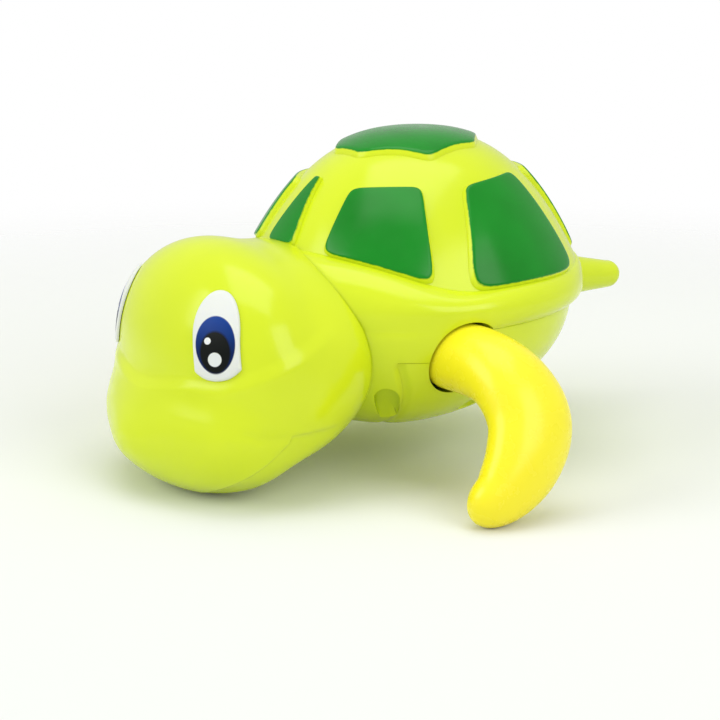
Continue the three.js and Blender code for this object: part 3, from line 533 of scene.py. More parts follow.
def tail_points(rows=48, columns=64):
    """Tail: circles along Y whose radius tapers evenly, flares at the rim and ends in a round tip."""
    root = RIM_MIDDLE + RIM_HALF[1] - 2 * SHELL_WALL
    tip = TAIL_REACH - TAIL_TIP_RADIUS
    left = np.linspace(1, 0, rows)
    y = tip + (root - tip) * left
    flare = TAIL_FLARE * np.exp(-np.maximum(y - (root + 2 * SHELL_WALL), 0) / TAIL_FLARE_LENGTH)
    radius = TAIL_TIP_RADIUS + (TAIL_ROOT_RADIUS - TAIL_TIP_RADIUS) * left + flare
    height = TAIL_HEIGHT + TAIL_ROOT_RISE * left
    cap = np.linspace(0, math.pi / 2, TAIL_TIP_ROWS)[1:]
    y = np.concatenate([[root], y, tip + TAIL_TIP_RADIUS * np.sin(cap)])
    radius = np.concatenate([[0], radius, TAIL_TIP_RADIUS * np.cos(cap)])
    height = np.concatenate([height[:1], height, np.full(len(cap), TAIL_HEIGHT)])
    a = ring_angles(columns)[None, :]
    y, radius, height = y[:, None], radius[:, None], height[:, None]
    x, y, z = np.broadcast_arrays(radius * np.cos(a), y, height + radius * np.sin(a))
    return np.stack([x, y, z], -1)


upper = body_form("shell_top_skin", 0.0, SKIN_COUNTS)
carve(upper, body_form("shell_room", -SHELL_WALL, ROOM_COUNTS))
add_collars(upper)
carve(upper, belly_room(SEAM_GAP))
for side in (1, -1):
    carve(upper, pocket_pad(side), "UNION")
    carve(upper, pocket_bar(side, 0.0))
tail = grid_piece("tail", tail_points())
carve(tail, belly_form("belly_clearance", SEAM_GAP, BELLY_GAP_COUNTS))
carve(upper, tail, "UNION")
cut_flipper_holes(upper)
smooth(upper, BODY_EDGE)
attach(upper, "shell")
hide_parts("upper_shell")
print("upper shell", len(upper.data.polygons), "faces")

# %% [markdown]
# ## Scutes
# Eight raised fields stand on the dome: an eight-sided one on the crown, a narrow one in front and
# three pairs round the sides. Each is a low plateau with a bevelled edge; the dark green paint covers
# the plateau and stops at its edge, so the bevel stays lime. A scute is a stack of copies of its
# outline, each a little smaller and higher, and every point stores how far it lies inside the edge,
# which the paint reads.

# %% Scute outlines
SCUTE_PROUD = 1.1
SCUTE_ROOT = 0.7
SCUTE_BEVEL = 0.055
SCUTE_SQUARENESS = 9.0
SCUTE_FOOT_SHARE = 0.999
FRONT_SCUTE = ((-1.5, 1.5), (-8, 8), (0.71, 0.71))
PAIRED_SCUTES = [
    ((23.5, 56.5), (21, 60.3), (0.74, 0.675)),
    ((77.5, 115), (72.5, 124), (0.66, 0.615)),
    ((147, 172.5), (152.5, 175.5), (0.64, 0.64)),
]
CROWN_LEFT = [(4.75, -11.6), (15.4, -1.8), (13.3, 11.2), (4.7, 18.4)]
CROWN_CORNERS = CROWN_LEFT + [(-x, y) for x, y in reversed(CROWN_LEFT)]
SCUTE_POINTS = 240
CORNER_SOFTNESS = 4  # neighbours averaged on each side of a crown point
LEAST_SHARE = 0.01  # the dome has no slope across at its very top


def dome_normal(a, share, step=0.004):
    """Outward normal of the dome from its two slopes."""
    across = dome(a + step, share) - dome(a - step, share)
    down = dome(a, share + step) - dome(a, share - step)
    normal = np.cross(down, across)
    return normal / np.linalg.norm(normal, axis=-1, keepdims=True)


def raised(a, share, lift):
    """Points over the dome, lifted along its normal."""
    share = np.maximum(share, LEAST_SHARE)
    return dome(a, share) + dome_normal(a, share) * np.asarray(lift)[..., None]


def between(ends, share):
    """A value between two ends."""
    return ends[0] + (ends[1] - ends[0]) * share


def side_outline(field, side):
    """Outline function of a side scute: a squarish oval stretched over four corners on the dome."""
    top, foot, top_shares = field
    t = ring_angles(SCUTE_POINTS)
    power = SCUTE_SQUARENESS
    reach = (np.abs(np.cos(t)) ** power + np.abs(np.sin(t)) ** power) ** (-1 / power) / 2

    def at(size, lift):
        u, v = 0.5 + size * reach * np.cos(t), 0.5 + size * reach * np.sin(t)
        degrees = between((between((top[0], foot[0]), v), between((top[1], foot[1]), v)), u)
        share = between((between(top_shares, u), SCUTE_FOOT_SHARE), v)
        return raised(side * np.radians(degrees), share, lift)
    return at


def crown_outline():
    """Outline function of the crown scute: its eight corners joined by straight lines in plan."""
    corners = np.array(CROWN_CORNERS)
    along = np.arange(SCUTE_POINTS) / SCUTE_POINTS * len(corners)
    edge = along.astype(int)
    part = (along - edge)[:, None]
    line = corners[edge] * (1 - part) + corners[(edge + 1) % len(corners)] * part
    steps = range(-CORNER_SOFTNESS, CORNER_SOFTNESS + 1)
    soft = sum(np.roll(line, step, axis=0) for step in steps) / len(steps)
    centre = corners.mean(axis=0)

    def at(size, lift):
        x, y = (centre + (soft - centre) * size).T
        a = np.arctan2(x, DOME_MIDDLE - y)
        share = np.hypot(x, DOME_MIDDLE - y) / ellipse_radius(*CREASE_HALF, a)
        return raised(a, share, lift)
    return at


print("outlines with", SCUTE_POINTS, "points each")

# %% Raise the scutes
PAINT_EDGE = 0.3
EDGE_ROUND = [  # run out from the outline in bevels, rise in shares of the height
    (0.6, 0.0), (0.1, 0.4), (-0.35, 0.76), (-0.55, 0.88), (-0.8, 0.95), (-1.2, 0.99), (-1.7, 1.0),
]
PLATEAU_ROWS = 14
CROWN_REACH, FRONT_REACH, PAIR_REACH = 14.0, 4.5, 9.0  # about half of each scute's breadth


def scute(name, outline, reach_mm):
    """A scute from its outline: foot, bevel with a rounded top edge, plateau, and its edge distance."""
    sizes = [0.0, 0.5, 1 + SCUTE_BEVEL]
    hidden = len(sizes)
    lifts = [-SCUTE_ROOT] * hidden
    for run, rise in EDGE_ROUND:
        sizes.append(1 + SCUTE_BEVEL * run)
        lifts.append(SCUTE_PROUD * rise)
    inner = np.linspace(sizes[-1], 0, PLATEAU_ROWS)[1:]
    sizes += inner.tolist()
    lifts += [SCUTE_PROUD] * len(inner)
    rows = np.stack([outline(size, np.full(SCUTE_POINTS, lift)) for size, lift in zip(sizes, lifts)])
    made = piece_from(name, rows, grid_faces(rows))
    inside = (1 - SCUTE_BEVEL * PAINT_EDGE - np.array(sizes)) * reach_mm
    inside[:hidden] = -reach_mm
    distance = made.data.attributes.new("edge_mm", "FLOAT", "POINT")
    distance.data.foreach_set("value", np.repeat(inside, SCUTE_POINTS).astype(np.float32))
    merge_and_face_out(made.data)
    smooth(made, SMALL_EDGE)
    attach(made, "shell")
    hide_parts("upper_shell")
    return made


scutes = [scute("scute_crown", crown_outline(), CROWN_REACH)]
scutes.append(scute("scute_front", side_outline(FRONT_SCUTE, 1), FRONT_REACH))
for number, field in enumerate(PAIRED_SCUTES):
    for side, word in ((1, "left"), (-1, "right")):
        scutes.append(scute(f"scute_{word}_{number + 1}", side_outline(field, side), PAIR_REACH))
print("scutes", len(scutes))

# %% [markdown]
# ## Belly cover
# The cover is the rest of the bowl. It has the same wall, four screw wells that open downwards and
# the lower parts of the flipper holes. The wells are tubes, so bosses are joined on before the
# wells are cut.

# %% Belly cover
WELLS = [(24.0, 3.0), (-24.0, 3.0), (19.5, 18.0), (-19.5, 18.0)]
WELL_RADIUS = 2.8
WELL_WALL = 1.4
WELL_TOP = 20.0
WELL_ROOF = 2.4
WELL_SIDES = 48
SCREW_HOLE = 1.25
SCREW_HOLE_SIDES = 24

belly = belly_form("belly_skin", 0.0, BELLY_SKIN_COUNTS)
carve(belly, belly_form("belly_inside", -SHELL_WALL, BELLY_ROOM_COUNTS))
add_collars(belly)
carve(belly, belly_room(0.0), "INTERSECT")
for x, y in WELLS:
    boss = rod("z", WELL_RADIUS + WELL_WALL, 0, WELL_TOP + WELL_ROOF, (x, y), WELL_SIDES)
    carve(boss, belly_form("belly_core", -SHELL_WALL / 2, BELLY_ROOM_COUNTS), "INTERSECT")
    carve(belly, boss, "UNION")
    carve(belly, rod("z", WELL_RADIUS, 0, WELL_TOP, (x, y), WELL_SIDES))
    carve(belly, rod("z", SCREW_HOLE, 0, WELL_TOP + 2 * WELL_ROOF, (x, y), SCREW_HOLE_SIDES))
for side in (1, -1):
    carve(belly, pocket_pad(side, SEAM_GAP))
    carve(belly, pocket_bar(side, 0.0))
cut_flipper_holes(belly)
smooth(belly, BODY_EDGE)
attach(belly, "shell")
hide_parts("belly_shell")
print("belly cover", len(belly.data.polygons), "faces")

# %% [markdown]
# ## Head
# The head is one hollow moulding: a round cranium, a wide muzzle, a nape that leans on the body, a
# small lower jaw and two cheeks. Each lobe is an ellipsoid, and the skin is where the sum of their
# fields is one, which melts them together softly. The skin is found along rays from a point inside
# by halving the search range, for all rays at once. The smile is a low relief along lines given as
# elevation over azimuth: the fold over the cheeks, the mouth and the back of the jaw. Nothing shows
# the inside of the head, so its skin is left as one closed form.

# %% Head field
HEAD_MIDDLE = np.array([0, -40.0, 24.0])
HEAD_HALF = np.array([25.3, 21.2, 21.3])
HEAD_SHARPNESS = 7.0
HEAD_LOBES = [
    ((0, -0.18, 0.239), (1.134, 0.73, 0.984)),
    ((0, -0.385, -0.482), (1.067, 0.687, 0.632)),
    ((0, 0.48, 0.193), (1.133, 0.727, 0.939)),
    ((0, -0.36, -0.573), (0.528, 0.761, 0.354)),
    ((0.4, 0.1, -0.2), (0.71, 0.62, 0.56)),
    ((-0.4, 0.1, -0.2), (0.71, 0.62, 0.56)),
]
LEAST_DISTANCE = 1e-3  # keeps the field finite in the middle of a lobe
HALVINGS = 40


def head_field(points):
    """Sum over the lobes of the distance in half sizes to the power -7: one on the skin."""
    total = 0
    for middle, half in HEAD_LOBES:
        offset = (points - HEAD_MIDDLE - HEAD_HALF * np.array(middle)) / (HEAD_HALF * np.array(half))
        total = total + np.maximum(np.linalg.norm(offset, axis=-1), LEAST_DISTANCE) ** -HEAD_SHARPNESS
    return total


def head_reach(start, direction):
    """Distance from points inside to the skin along directions, by halving."""
    near = np.zeros(direction.shape[:-1])
    far = np.full(direction.shape[:-1], FAR)
    for _ in range(HALVINGS):
        middle = (near + far) / 2
        inside = head_field(start + direction * middle[..., None]) > 1
        near, far = np.where(inside, middle, near), np.where(inside, far, middle)
    return near


print("head of", len(HEAD_LOBES), "lobes")

# %% Smile
# The puff and the depths are in millimetres. The power, the slope and the mouth's share in front are
# plain numbers, and all the rest are degrees of azimuth or elevation.
FOLD_NOSE, FOLD_CHEEK_RISE, FOLD_EAR_RISE = 2, 5, 15
FOLD_CHEEK = (0, 45)
FOLD_EAR_START, FOLD_EAR_SPAN, FOLD_EAR_POWER = 56, 40, 1.2
CHEEK_PUFF, CHEEK_TOP, CHEEK_EDGE, CHEEK_FADE = 0.6, -1, 6.0, 18.0
CHEEK_END = (94, 110)
MOUTH_DEPTH, MOUTH_WIDTH = 0.3, 1.4
MOUTH_HEIGHT, MOUTH_DROP = -12.5, 2
MOUTH_BEND = (60, 76)
MOUTH_FRONT, MOUTH_START, MOUTH_END = 0.1, (58, 74), (80, 84)
JAW_DEPTH, JAW_EDGE = 0.85, 2.2
JAW_BACK, JAW_SLOPE, JAW_CORNER, JAW_REACH = 81.5, 1.15, 17, 40
JAW_FADE, JAW_TOP, JAW_FOOT = (6, 30), (13, 16), (40, 60)


def ease(value, start, end):
    """A smooth step from 0 at start to 1 at end."""
    t = np.clip((value - start) / (end - start), 0, 1)
    return t * t * (3 - 2 * t)


def head_relief(direction):
    """Height added to the skin, from azimuth and elevation of the rays in degrees: puffed cheeks under
    a fold that climbs towards the ear, a thin mouth line and a step down behind the lower jaw."""
    x, y, z = np.moveaxis(direction, -1, 0)
    azimuth = np.degrees(np.arctan2(np.abs(x), -y))
    elevation = np.degrees(np.arctan2(z, np.hypot(x, y)))
    to_ear = np.clip((azimuth - FOLD_EAR_START) / FOLD_EAR_SPAN, 0, 2) ** FOLD_EAR_POWER
    fold = FOLD_NOSE + FOLD_CHEEK_RISE * ease(azimuth, *FOLD_CHEEK) + FOLD_EAR_RISE * to_ear
    below = fold - elevation
    puff = ease(below, CHEEK_TOP, CHEEK_EDGE) * np.exp(-np.maximum(below - CHEEK_EDGE, 0) / CHEEK_FADE)
    puff = puff * (1 - ease(azimuth, *CHEEK_END))
    mouth = MOUTH_HEIGHT - MOUTH_DROP * ease(azimuth, *MOUTH_BEND)
    lips = np.exp(-((elevation - mouth) / MOUTH_WIDTH) ** 2)
    lips = lips * (MOUTH_FRONT + (1 - MOUTH_FRONT) * ease(azimuth, *MOUTH_START))
    lips = lips * (1 - ease(azimuth, *MOUTH_END))
    past_jaw = azimuth - (JAW_BACK - JAW_SLOPE * np.clip(-elevation - JAW_CORNER, 0, JAW_REACH))
    behind = ease(past_jaw, 0, JAW_EDGE) * (1 - ease(past_jaw, *JAW_FADE))
    step = behind * ease(-elevation, *JAW_TOP) * (1 - ease(-elevation, *JAW_FOOT))
    return CHEEK_PUFF * puff - MOUTH_DEPTH * lips - JAW_DEPTH * step


print("relief between", -JAW_DEPTH, "and", CHEEK_PUFF, "mm")

# %% Head skin
HEAD_GAP = 0.35


def head_points(rows=220, columns=320):
    """Skin points along rays from the head's middle, rows from the nose to the nape."""
    polar = np.linspace(0, math.pi, rows)[:, None]
    a = ring_angles(columns)[None, :]
    x, y, z = np.broadcast_arrays(np.sin(polar) * np.cos(a), -np.cos(polar), np.sin(polar) * np.sin(a))
    direction = np.stack([x, y, z], -1)
    reach = head_reach(HEAD_MIDDLE, direction) + head_relief(direction)
    return HEAD_MIDDLE + direction * reach[..., None]


head = grid_piece("head_skin", head_points())
carve(head, body_form("body_clearance", HEAD_GAP, SKIN_COUNTS))
smooth(head, HEAD_EDGE)
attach(head, "shell")
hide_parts("head_shell")
print("head", len(head.data.polygons), "faces")

# %% [markdown]
# ## Eyes
# Each eye is a white plate with a round top and a squarer foot, set on the head, with the iris, the
# pupil and two glints printed on it. The plate's outline is a width for every height. Copies of the
# outline shrink towards the middle, are laid on the head's skin along the plate's axis and lifted
# by the plate's thickness. The print reads the flat plate coordinates from the UV map.

# %% Eye plates
EYE_SHARES = (0.776, -0.672, 0.538)
EYE_TILT = np.array([0.452, -0.843, 0.292])
EYE_LEAN = math.radians(8.7)
EYE_HALF_WIDTH = 5.05
EYE_RISE = 8.7
EYE_DROP = 8.6
EYE_PROUD = 0.75
EYE_CORNER = -6.6
EYE_FOOT_ROUND = 0.42
EYE_UV_SPAN = 20.0
EYE_POINTS = 120
EYE_RING_SIZES = np.array([0, 0.5, 1, 1, 0.985, 0.955, 0.91, 0.8, 0.65, 0.5, 0.35, 0.2, 0.1, 0])
EYE_RING_LIFTS = np.array([0.2, 0.2, 0.2, 0.55, 0.78, 0.9, 0.97, 1, 1, 1, 1, 1, 1, 1])  # of EYE_PROUD


def eye_outline():
    """Half width over height: an ellipse above, nearly straight sides, a shallow arc below."""
    t = np.linspace(0, math.pi, EYE_POINTS + 1)
    v = (EYE_RISE - EYE_DROP) / 2 + (EYE_RISE + EYE_DROP) / 2 * np.cos(t)
    top = EYE_HALF_WIDTH * np.sqrt(np.clip(1 - (v / EYE_RISE) ** 2, 0, 1))
    foot = EYE_HALF_WIDTH * np.clip((v + EYE_DROP) / (EYE_CORNER + EYE_DROP), 0, 1) ** EYE_FOOT_ROUND
    width = np.where(v > 0, top, foot)
    right = np.column_stack([width, v])
    left = np.column_stack([-width, v])[::-1][1:-1]
    return np.concatenate([right, left])


def eye_plate(name, side):
    """One plate on the skin: rings of the outline from its foot over its rounded edge to its middle."""
    out = EYE_TILT / np.linalg.norm(EYE_TILT)
    along = np.array([-out[1], out[0], 0]) / math.hypot(out[0], out[1])
    up = np.cross(out, along)
    along, up = (along * math.cos(EYE_LEAN) + up * math.sin(EYE_LEAN),
                 up * math.cos(EYE_LEAN) - along * math.sin(EYE_LEAN))
    start = HEAD_MIDDLE + HEAD_HALF * np.array(EYE_SHARES) - out * EYE_RISE
    lifts = EYE_PROUD * EYE_RING_LIFTS
    flat = eye_outline()[None] * EYE_RING_SIZES[:, None, None]
    base = start + flat[..., :1] * along + flat[..., 1:] * up
    direction = np.broadcast_to(out, base.shape)
    points = base + direction * (head_reach(base, direction) + lifts[:, None])[..., None]
    points = points * [side, 1, 1]
    made = piece_from(name, points, grid_faces(points))
    layer = made.data.uv_layers.new(name="plate")
    corner = np.empty(len(made.data.loops), np.int32)
    made.data.loops.foreach_get("vertex_index", corner)
    plate = flat.reshape(-1, 2)[corner] / EYE_UV_SPAN + 0.5
    layer.data.foreach_set("uv", plate.astype(np.float32).ravel())
    merge_and_face_out(made.data)
    smooth(made, SMALL_EDGE)
    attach(made, "shell")
    return made


eyes = [eye_plate("eye_plate_left", 1), eye_plate("eye_plate_right", -1)]
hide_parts("eye_left")
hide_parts("eye_right")
print("eye plates", [len(eye.data.polygons) for eye in eyes], "faces")

# %% [markdown]
# ## Flippers
# A flipper is a bent paddle: round where it leaves the body, broad at the bend, then tapering to a
# blunt tip that points down and forward. An oval section is carried along a smooth path through
# eight stations. Both flippers sit on one axle, the far one about a third of a turn behind.

# %% Flipper path
FLIPPER_ROOT_START = 30.0
FLIPPER_ROOT_RADIUS = 7.0
FLIPPER_SPREAD = 24.8
FLIPPER_SWEEP = 11.1
FLIPPER_DROP = 24.0
FLIPPER_HALF_BREADTH = 9.0
FLIPPER_HALF_THICKNESS = 7.0
FLIPPER_STATIONS = [  # shares of spread, sweep, drop, half breadth and half thickness
    (0, 0, 0, FLIPPER_ROOT_RADIUS / FLIPPER_HALF_BREADTH, 1),
    (0.403, 0, 0, 0.8, 1),
    (0.677, -0.117, 0.104, 0.911, 0.943),
    (0.883, -0.207, 0.375, 1, 0.886),
    (0.976, 0.135, 0.675, 0.911, 0.829),
    (1, 0.60, 0.875, 0.72, 0.70),
    (0.99, 0.95, 0.955, 0.56, 0.58),
    (0.975, 1.24, 1.01, 0.50, 0.50),
]
PATH_STEPS = 601
PATH_SOFTNESS = 28  # steps averaged on each side


def through_points(stations, share):
    """Catmull-Rom curve: each span is a cubic whose end slopes are half the chord of its neighbours."""
    p = np.vstack([2 * stations[0] - stations[1], stations, 2 * stations[-1] - stations[-2]])
    s = share * (len(stations) - 1 - 1e-9)  # so that the last share lies in the last span
    i = s.astype(int)
    f = (s - i)[:, None]
    p0, p1, p2, p3 = p[i], p[i + 1], p[i + 2], p[i + 3]
    square, cube = 2 * p0 - 5 * p1 + 4 * p2 - p3, 3 * (p1 - p2) + p3 - p0
    return 0.5 * (2 * p1 + (p2 - p0) * f + square * f ** 2 + cube * f ** 3)


def soften(line, reach):
    """Averages each row with its neighbours; rows past an end are mirrored through the end row."""
    before = 2 * line[0] - line[reach:0:-1]
    after = 2 * line[-1] - line[-2:-reach - 2:-1]
    longer = np.concatenate([before, line, after])
    return np.mean([longer[i:i + len(line)] for i in range(2 * reach + 1)], axis=0)


def flipper_line(share):
    """Middle, half breadth, half thickness and heading of the flipper at shares of its length."""
    scale = [FLIPPER_SPREAD, -FLIPPER_SWEEP, -FLIPPER_DROP, FLIPPER_HALF_BREADTH, FLIPPER_HALF_THICKNESS]
    even = np.linspace(0, 1, PATH_STEPS)
    line = through_points(np.array(FLIPPER_STATIONS) * scale, even)
    line = soften(soften(line, PATH_SOFTNESS), PATH_SOFTNESS)
    table = np.column_stack([line, np.gradient(line[:, :3], axis=0)])
    line = np.stack([np.interp(share, even, column) for column in table.T], -1)
    heading = line[:, 5:] / np.linalg.norm(line[:, 5:], axis=1)[:, None]
    return line[:, :3], line[:, 3], line[:, 4], heading


print("flipper path through", len(FLIPPER_STATIONS), "stations")

# %% Flipper skins
FAR_FLIPPER_TURN = 108
FLIPPER_TIP = 0.82  # share of the length at which the tip starts to close
AXLE_END = 36.15
AXLE_SOCKET = 2.15
HEXAGON = 6


def flipper_points(side, degrees, rows=130, tip_rows=30, columns=96):
    """An oval carried along the path: its broad way is Y, less the part along the path, and a quarter
    ellipse closes the tip."""
    turn = np.linspace(0, math.pi / 2, tip_rows + 1)[1:]
    tip = FLIPPER_TIP + (1 - FLIPPER_TIP) * np.sin(turn)
    share = np.concatenate([np.linspace(0, FLIPPER_TIP, rows), tip])
    shrink = np.concatenate([np.ones(rows), np.cos(turn)])
    path, breadth, thickness, heading = flipper_line(share)
    across = np.array([0, 1, 0]) - heading * heading[:, 1:2]
    across /= np.linalg.norm(across, axis=1)[:, None]
    over = np.cross(heading, across)
    a = ring_angles(columns)[None, :, None]
    wide = (breadth * shrink)[:, None, None] * np.cos(a) * across[:, None]
    thick = (thickness * shrink)[:, None, None] * np.sin(a) * over[:, None]
    points = path[:, None] + wide + thick
    points = np.concatenate([np.broadcast_to(path[:1, None], (1, columns, 3)), points])
    angle = math.radians(degrees)
    y = points[..., 1] * math.cos(angle) - points[..., 2] * math.sin(angle)
    z = points[..., 1] * math.sin(angle) + points[..., 2] * math.cos(angle)
    return np.stack([side * (points[..., 0] + FLIPPER_ROOT_START), AXLE[0] + y, AXLE[1] + z], -1)


def flipper(name, side, degrees, node):
    """One flipper with the socket for the axle, riding on the driven axle."""
    made = grid_piece(name, flipper_points(side, degrees))
    carve(made, rod("x", AXLE_SOCKET, side * HOLE_START, side * AXLE_END, AXLE, HEXAGON))
    smooth(made, SMALL_EDGE)
    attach(made, "flipper_drive")
    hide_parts(node)
    return made


flippers = [
    flipper("paddle_left", 1, 0, "flipper_left"),
    flipper("paddle_right", -1, FAR_FLIPPER_TURN, "flipper_right"),
]
print("flippers", [len(f.data.polygons) for f in flippers])

# %% [markdown]
# ## Moulded ABS
# ABS from a polished mould is glossy, with a clear coat-like reflection, a very slight waviness
# where the wall shrank as it cooled, and pigment that drifts a little in tone over centimetres.
# Fine handling marks make the gloss uneven. One function makes such a plastic from two tones.


# %% Patterns and tones
def noise_at(tree, size_mm, detail=2.0):
    """Noise over the piece's own coordinates whose cells are about one size across."""
    place = add(tree, "ShaderNodeTexCoord")
    return add(tree, "ShaderNodeTexNoise",
               {"Vector": place.outputs["Object"], "Scale": 1 / (size_mm * MM), "Detail": detail})


def spread(tree, value, low, high, start=0.35, end=0.65):
    """Carries a value's usual range to another range."""
    made = add(tree, "ShaderNodeMapRange",
               {"Value": value, "From Min": start, "From Max": end, "To Min": low, "To Max": high})
    return made.outputs["Result"]


def two_tones(tree, factor, first, second):
    """Mixes two colours by a factor; each is a hex code or a socket."""
    made = add(tree, "ShaderNodeMix", {"Factor": factor}, data_type="RGBA")
    for socket, colour in ((made.inputs[6], first), (made.inputs[7], second)):
        if isinstance(colour, str):
            socket.default_value = linear(colour)
        else:
            tree.links.new(colour, socket)
    return made.outputs[2]


# %% Plastics
LIME = "#DBEC22"
ABS_IOR = 1.53
ABS_SHINE = 0.4
PIGMENT_MM = 22.0  # across a patch of even tone
HANDLING_MM = 3.5  # across a patch of even gloss
RIPPLE_MM = 9.0
RIPPLE_HEIGHT_MM = 0.003
RIPPLE_STRENGTH = 0.6
SKIN_DEPTH = 0.2  # share of the colour that comes from light scattered under the surface
SKIN_RADIUS = (1.0, 1.0, 0.4)
SKIN_SCALE_MM = 1.5


def moulded_surface(tree, output, colour, gloss, ripple_mm=RIPPLE_MM, shine=ABS_SHINE):
    """Principled plastic with uneven gloss and a faint moulding ripple."""
    rough = spread(tree, noise_at(tree, HANDLING_MM, 3.0).outputs["Fac"], *gloss)
    wave = noise_at(tree, ripple_mm).outputs["Fac"]
    bump = add(tree, "ShaderNodeBump",
               {"Height": wave, "Strength": RIPPLE_STRENGTH, "Distance": RIPPLE_HEIGHT_MM * MM})
    body = add(tree, "ShaderNodeBsdfPrincipled", {
        "Base Color": colour, "Roughness": rough, "IOR": ABS_IOR, "Specular IOR Level": shine,
        "Subsurface Weight": SKIN_DEPTH, "Subsurface Radius": SKIN_RADIUS,
        "Subsurface Scale": SKIN_SCALE_MM * MM, "Normal": bump.outputs["Normal"]})
    tree.links.new(body.outputs[0], output.inputs["Surface"])


def moulded_abs(name, main, deep, gloss):
    """A pigmented plastic whose tone drifts between two colours."""
    material, tree, output = blank_material(name)
    drift = spread(tree, noise_at(tree, PIGMENT_MM).outputs["Fac"], 0, 1)
    moulded_surface(tree, output, two_tones(tree, drift, main, deep), gloss)
    return material


def dress(mesh, material):
    """Gives a mesh one material and no other."""
    mesh.materials.clear()
    mesh.materials.append(material)


lime_abs = moulded_abs("lime_abs_polished_mould", LIME, "#D6E81E", (0.16, 0.22))
yellow_abs = moulded_abs("yellow_abs_polished_mould", "#FFF22A", "#FFEF26", (0.24, 0.29))
case_abs = moulded_abs("white_abs_textured_mould", "#E6E6E0", "#DADBD4", (0.42, 0.55))
gear_acetal = moulded_abs("natural_acetal_moulded", "#F4F1E6", "#EAE6D8", (0.35, 0.48))
for piece in (upper, belly, head):
    dress(piece.data, lime_abs)
for piece in flippers:
    dress(piece.data, yellow_abs)
print("plastics", [plastic.name for plastic in (lime_abs, yellow_abs, case_abs, gear_acetal)])

# %% [markdown]
# ## Masked spray paint
# The scutes are sprayed through a metal mask. The paint stops at the plateau's edge with a slightly
# wavering line, and shines a little less than the plastic. The stored edge distance, with a little
# noise added, decides between paint and bare lime.

# %% Scute paint
WAVER_MM = 0.03  # how far the paint's edge strays
WAVER_LENGTH_MM = 1.2
SPRAY_MM = 16.0  # across a patch of even tone
PAINT_SHINE = 0.28
material, tree, output = blank_material("green_enamel_sprayed_through_mask")
edge = add(tree, "ShaderNodeAttribute", attribute_name="edge_mm")
waver = spread(tree, noise_at(tree, WAVER_LENGTH_MM).outputs["Fac"], -WAVER_MM, WAVER_MM)
line = add(tree, "ShaderNodeMath", {0: edge.outputs["Fac"], 1: waver}, operation="ADD")
painted = spread(tree, line.outputs[0], 0, 1, -0.05, 0.09)
tone = spread(tree, noise_at(tree, SPRAY_MM).outputs["Fac"], 0, 1)
green = two_tones(tree, tone, "#088C1C", "#048016")
moulded_surface(tree, output, two_tones(tree, painted, LIME, green), (0.17, 0.24), shine=PAINT_SHINE)
for piece in scutes:
    dress(piece.data, material)
print("painted", len(scutes), "scutes")

# %% [markdown]
# ## Printed eye
# The plate is white ABS. Iris, pupil and glints are pad printed with clean edges; a painted sheen
# lightens the iris's top.
# Each printed spot is an oval in plate millimetres; its mask is one inside and zero outside.

# %% Eye print
IRIS = ((0.1, -1.85), (4.32, 5.42), 0.02)  # middle, half sizes and softness of each oval
PUPIL = ((0.1, -3.3), (3.33, 3.95), 0.07)
SMALL_GLINT = ((-1.4, -1.1), (0.74, 0.66), 0.08)
LARGE_GLINT = ((0.0, -4.65), (1.49, 1.32), 0.05)
INKS = [(PUPIL, "#0A0F0C"), (SMALL_GLINT, "#EDF1EE"), (LARGE_GLINT, "#E4E9E5")]
PLATE_RIPPLE_MM = 5.0
PRINT_SHINE = 0.12
material, tree, output = blank_material("pad_printed_white_abs")
plate_map = add(tree, "ShaderNodeUVMap", uv_map="plate")


def printed_oval(middle, half, softness):
    """Mask of an oval: the plate point less the middle, over the half sizes, is shorter than one."""
    scale = [EYE_UV_SPAN / h for h in half]
    shift = [-(m + EYE_UV_SPAN / 2) / h for m, h in zip(middle, half)]
    moved = add(tree, "ShaderNodeMapping",
                {"Vector": plate_map.outputs["UV"], "Scale": (*scale, 0), "Location": (*shift, 0)})
    length = add(tree, "ShaderNodeVectorMath", {0: moved.outputs[0]}, operation="LENGTH")
    return spread(tree, length.outputs["Value"], 1, 0, 1 - softness, 1 + softness)


upper_part = add(tree, "ShaderNodeSeparateXYZ", {0: plate_map.outputs["UV"]})
# Painted sheen: the iris is coloured lighter towards the top of the plate.
shine = spread(tree, upper_part.outputs["Y"], 0, 1, 0.32, 0.66)
iris_with_painted_sheen = two_tones(tree, shine, "#052158", "#073E92")
colour = two_tones(tree, printed_oval(*IRIS), "#E6EAE3", iris_with_painted_sheen)
for oval, ink in INKS:
    colour = two_tones(tree, printed_oval(*oval), colour, ink)
moulded_surface(tree, output, colour, (0.30, 0.38), PLATE_RIPPLE_MM, PRINT_SHINE)
for piece in eyes:
    dress(piece.data, material)
print("printed", len(eyes), "eyes with", len(INKS) + 1, "ovals each")

# %% [markdown]
# ## Metal parts inside
# The axle and shafts are drawn steel with fine lines along the bar, the screws are zinc plated, the
# spring is blued strip, and the bushes and the governor's fan are turned brass. They show only
# through gaps and screw wells, yet each has its own finish. Metals keep the default index of
# refraction.

# %% Metals
LINE_DETAIL = 4.0
LINE_STRENGTH = 0.4
LINE_HEIGHT_MM = 0.01


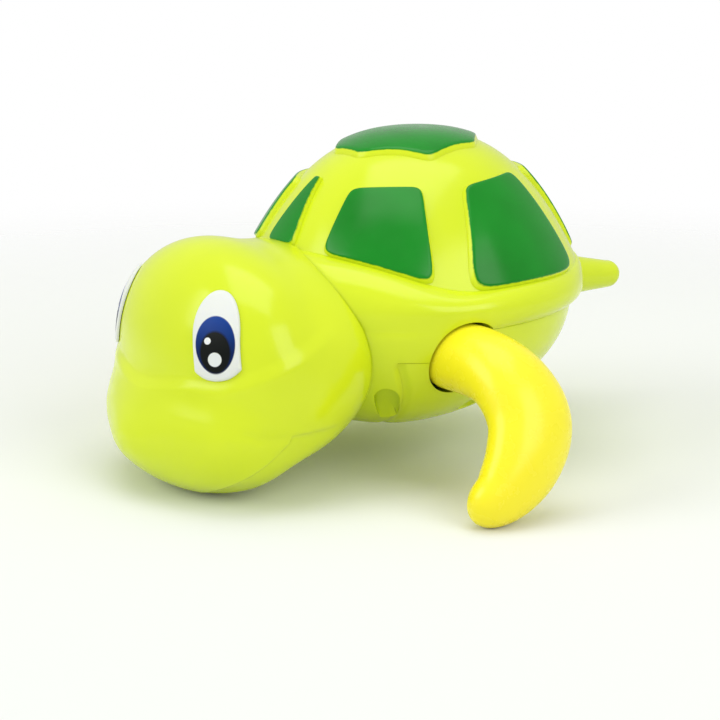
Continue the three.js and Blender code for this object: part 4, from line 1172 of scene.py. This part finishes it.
def worked_metal(name, main, deep, gloss, stretch, mark_mm):
    """A metal whose tone and gloss follow fine lines, stretched along the way it was worked."""
    made, tree, output = blank_material(name)
    place = add(tree, "ShaderNodeTexCoord")
    turned = add(tree, "ShaderNodeMapping", {"Vector": place.outputs["Object"], "Scale": stretch})
    lines = add(tree, "ShaderNodeTexNoise",
                {"Vector": turned.outputs[0], "Scale": 1 / (mark_mm * MM), "Detail": LINE_DETAIL})
    colour = two_tones(tree, spread(tree, lines.outputs["Fac"], 0, 1), main, deep)
    rough = spread(tree, lines.outputs["Fac"], *gloss)
    bump = add(tree, "ShaderNodeBump", {
        "Height": lines.outputs["Fac"], "Strength": LINE_STRENGTH, "Distance": LINE_HEIGHT_MM * MM})
    body = add(tree, "ShaderNodeBsdfPrincipled", {
        "Base Color": colour, "Metallic": 1.0, "Roughness": rough, "Normal": bump.outputs["Normal"]})
    tree.links.new(body.outputs[0], output.inputs["Surface"])
    return made


drawn_steel = worked_metal("drawn_steel", "#B9BCC0", "#9DA1A6", (0.28, 0.4), (0.05, 1, 1), 0.4)
zinc_steel = worked_metal("zinc_plated_steel", "#C4C7C6", "#AEB1AC", (0.25, 0.42), (1, 1, 1), 1.0)
blued_spring = worked_metal("blued_spring_strip", "#6E7780", "#545C66", (0.25, 0.38), (1, 0.1, 0.1), 0.5)
turned_brass = worked_metal("turned_brass", "#C9A24A", "#AD863A", (0.25, 0.4), (1, 0.2, 0.2), 0.4)

NODE_FINISH = {
    drawn_steel: ["flipper_axle", "spring_arbor", "governor_shaft"],
    blued_spring: ["mainspring"],
    turned_brass: ["axle_bush_left", "axle_bush_right", "governor_fan"],
    case_abs: ["motor_base", "motor_cover"],
    gear_acetal: ["axle_pinion", "governor_wheel", "spring_wheel", "governor_pinion"],
    zinc_steel: [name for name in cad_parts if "screw" in name],
}
for finish, names in NODE_FINISH.items():
    for name in names:
        dress(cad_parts[name].data, finish)
print("finished CAD nodes", sum(len(names) for names in NODE_FINISH.values()))
